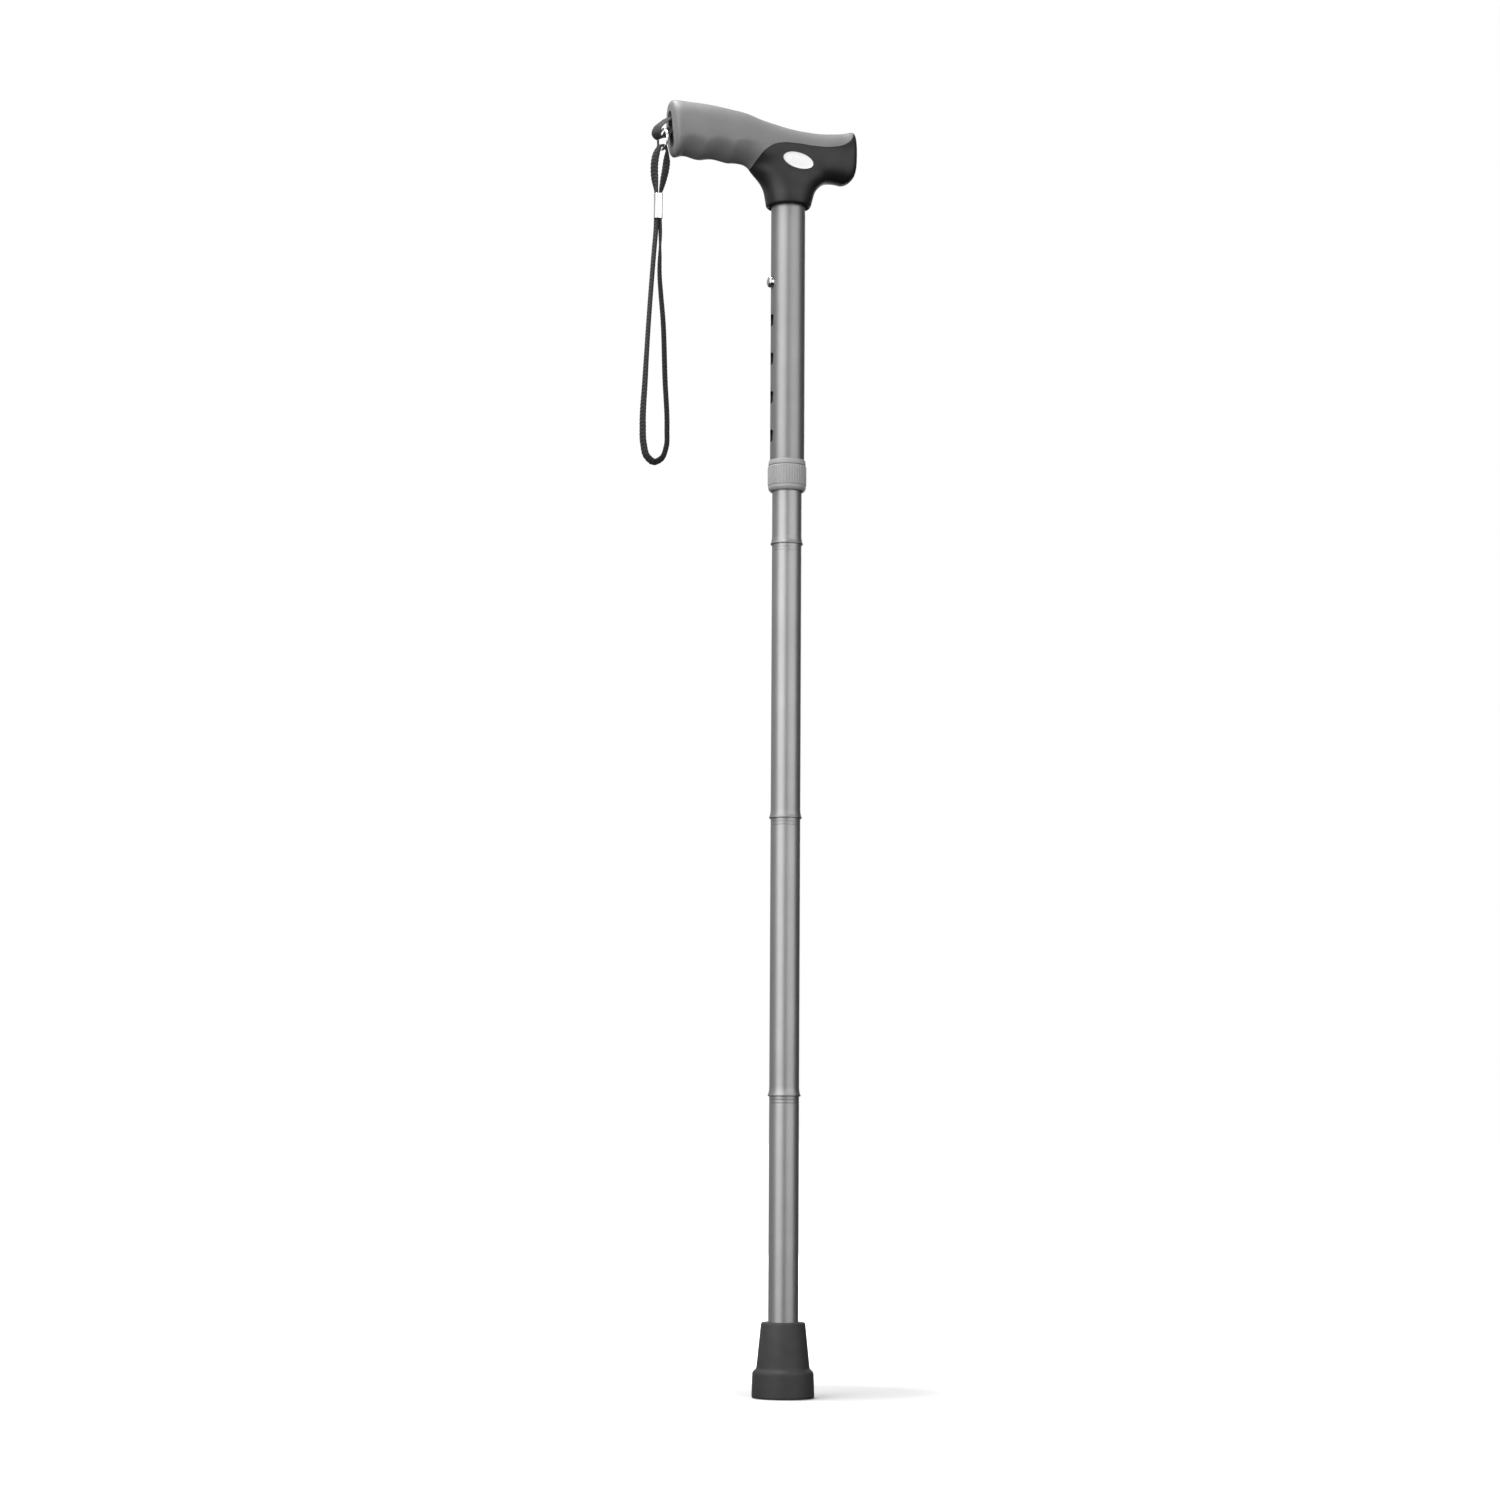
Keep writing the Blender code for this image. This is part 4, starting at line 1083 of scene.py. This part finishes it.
def make_tip():
    """The rubber foot: a tapered body, a wide base flange, and two grooves round its sole."""
    top = high("rubber_tip")
    bore = 9.8
    outline = [(bore, TIP_FLOOR, 0.3), (bore, top - 0.6, 0.2), (bore + 0.5, top, 0.3), (13.2, top, 0.6),
               (14.0, top - 0.8, 0.8), (16.75, 19.4, 0.5), (17.0, 18.2, 0.5), (19.1, 16.2, 0.6),
               (19.4, 15.0, 0.6), (19.75, 1.0, 0.5), (19.5, 0.2, 0.3), (19.0, 0.0, 0.2)]
    groove = 1.4
    for edge in (16.4, 12.8):
        outline += [(edge, 0.0, 0.2), (edge - 0.3, groove, 0.15), (edge - 1.3, groove, 0.15),
                    (edge - 1.6, 0.0, 0.2)]
    outline += [(0.05, 0.0, 0.0), (0.05, TIP_FLOOR, 0.0)]
    tip = lofted("rubber_foot", round_rings(rounded(outline, 0.2, steps=3)), closed=True)
    close_axis(tip)
    rubber = moulded("black tip rubber", 0.022, 0.04, 0.62, grain=0.5, depth=0.04)
    stand_in(tip, rubber, "lower_section", "rubber_tip")


def close_axis(obj):
    """Closes the sole and the socket's floor: their tiny rings round the axis are drawn together."""
    near, reach = 0.2 * MM, 0.3 * MM
    bm = bmesh.new()
    bm.from_mesh(obj.data)
    bmesh.ops.remove_doubles(bm, verts=[v for v in bm.verts if Vector(v.co.xy).length < near], dist=reach)
    bm.to_mesh(obj.data)
    bm.free()
    shade(obj)


# Light and floor.

DARK_WALL, LIGHT_WALL = 0.03, 0.5
WALL_FOOT = 0.12
FLOOR_SIZE = 40
FLOOR_DROP = 0.0004
FLOOR_TONE = 0.77
# Painted shadow: the floor's glow drops round this centre, beside and behind the foot, between these two
# radii.
SHADE_CENTRE = (0.048, 0.038, 0)
SHADE_CORE, SHADE_EDGE = 0.04, 0.17


def add_area(name, place, aim, size, power):
    data = bpy.data.lights.new(name, "AREA")
    data.shape = "RECTANGLE"
    data.size, data.size_y = size
    data.energy = power
    light = bpy.data.objects.new(name, data)
    light.location = place
    light.rotation_euler = (Vector(aim) - Vector(place)).to_track_quat("-Z", "Y").to_euler()
    bpy.context.scene.collection.objects.link(light)


def around(azimuth, distance, height):
    """A point at an azimuth from the camera's side of the cane."""
    angle = CAMERA_AZIMUTH + math.radians(azimuth)
    return math.sin(angle) * distance, -math.cos(angle) * distance, height


def add_lights():
    """A large key and fill in front, a small light near the handle's top, and a weak one behind."""
    add_area("key", around(-38, 2.0, 1.1), aim=(0, 0, 0.6), size=(2.2, 2.4), power=41)
    add_area("fill", around(47, 2.2, 1.0), aim=(0, 0, 0.5), size=(2.8, 2.4), power=39)
    add_area("top", (-0.26, 0.05, 1.55), aim=(-0.05, 0, 0.82), size=(0.8, 0.6), power=13)
    add_area("back", around(172, 2.3, 1.0), aim=(0, 0, 0.5), size=(1.6, 2.0), power=16)


def add_world():
    """White to the camera. To all else, walls: light on the left, dark on the right, and dim low down."""
    world = bpy.data.worlds.new("studio")
    bpy.context.scene.world = world
    made = Nodes(world)
    seen = made.tree.nodes["Background"]
    seen.inputs["Color"].default_value = (1, 1, 1, 1)
    walls = made.add("ShaderNodeBackground")
    walls.inputs["Color"].default_value = (1, 1, 1.01, 1)
    direction = made.coordinates["Generated"]
    leftward = made.add("ShaderNodeVectorMath", operation="DOT_PRODUCT")
    leftward.inputs[1].default_value = Vector(around(-100, 1.0, 0))
    made.link(direction, leftward.inputs[0])
    upward = made.add("ShaderNodeSeparateXYZ")
    made.link(direction, upward.inputs["Vector"])
    side_level = made.span(leftward.outputs["Value"], DARK_WALL, LIGHT_WALL, -0.9, 0.9, curve="SMOOTHSTEP")
    height_level = made.span(upward.outputs["Z"], WALL_FOOT, 1.0, -0.35, 0.1, curve="SMOOTHSTEP")
    made.link(made.maths("MULTIPLY", side_level, height_level), walls.inputs["Strength"])
    mix = made.add("ShaderNodeMixShader")
    made.link(made.add("ShaderNodeLightPath").outputs["Is Camera Ray"], mix.inputs["Fac"])
    made.link(walls.outputs["Background"], mix.inputs[1])
    made.link(seen.outputs["Background"], mix.inputs[2])
    made.link(mix.outputs["Shader"], made.tree.nodes["World Output"].inputs["Surface"])


def add_floor():
    """A plain white floor. It glows, less so beside and behind the foot: a painted soft shadow there, which
    also lets the lamps' own soft shadow show.
    """
    bm = bmesh.new()
    bmesh.ops.create_grid(bm, x_segments=1, y_segments=1, size=FLOOR_SIZE)
    mesh = bpy.data.meshes.new("floor")
    bm.to_mesh(mesh)
    bm.free()
    floor = bpy.data.objects.new("floor", mesh)
    floor.location.z = -FLOOR_DROP
    bpy.context.scene.collection.objects.link(floor)
    made = Nodes(bpy.data.materials.new("floor"))
    distance = made.add("ShaderNodeVectorMath", operation="DISTANCE")
    made.link(made.coordinates["Object"], distance.inputs[0])
    distance.inputs[1].default_value = SHADE_CENTRE
    glow = made.span(distance.outputs["Value"], 0.0, 1.0, SHADE_CORE, SHADE_EDGE, curve="SMOOTHSTEP")
    inputs = made.tree.nodes["Principled BSDF"].inputs
    made.link(glow, inputs["Emission Strength"])
    inputs["Base Color"].default_value = (FLOOR_TONE, FLOOR_TONE, FLOOR_TONE, 1)
    inputs["Roughness"].default_value = 0.9
    inputs["Specular IOR Level"].default_value = 0.0
    inputs["Emission Color"].default_value = (1, 1, 1, 1)
    floor.data.materials.append(made.owner)
    floor.visible_diffuse = False
    floor.visible_glossy = False


def dress_carried_nodes():
    """Materials for the CAD pieces that are shown as they are."""
    bare = anodised("bare aluminium", 0.5, 0.6, 0.26)
    steel = plated("spring steel", 0.55, 0.24)
    plastic = moulded("black inner plastic", 0.02, 0.035, 0.45)
    knot = moulded("elastic knot", 0.03, 0.07, 0.85, grain=0.6, depth=0.15)
    looks = (
        (bare, ("lower_joint_insert", "middle_joint_insert", "upper_joint_insert")),
        (steel, ("tip_washer", "handle_screw", "strap_anchor_pin")),
        (plastic, ("cord_bottom_anchor", "cord_top_anchor", "height_tube_guide_bush", "compression_ring")),
        (knot, ("cord_bottom_knot", "cord_top_knot")),
    )
    for material, nodes in looks:
        for node in nodes:
            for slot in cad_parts[node].material_slots:
                slot.material = material


add_camera()
make_strap()
make_ring()
make_strap_tab()
make_handle()
make_badge()
make_shaft()
make_elastic()
make_collar()
make_tip()
dress_carried_nodes()
add_lights()
add_world()
add_floor()
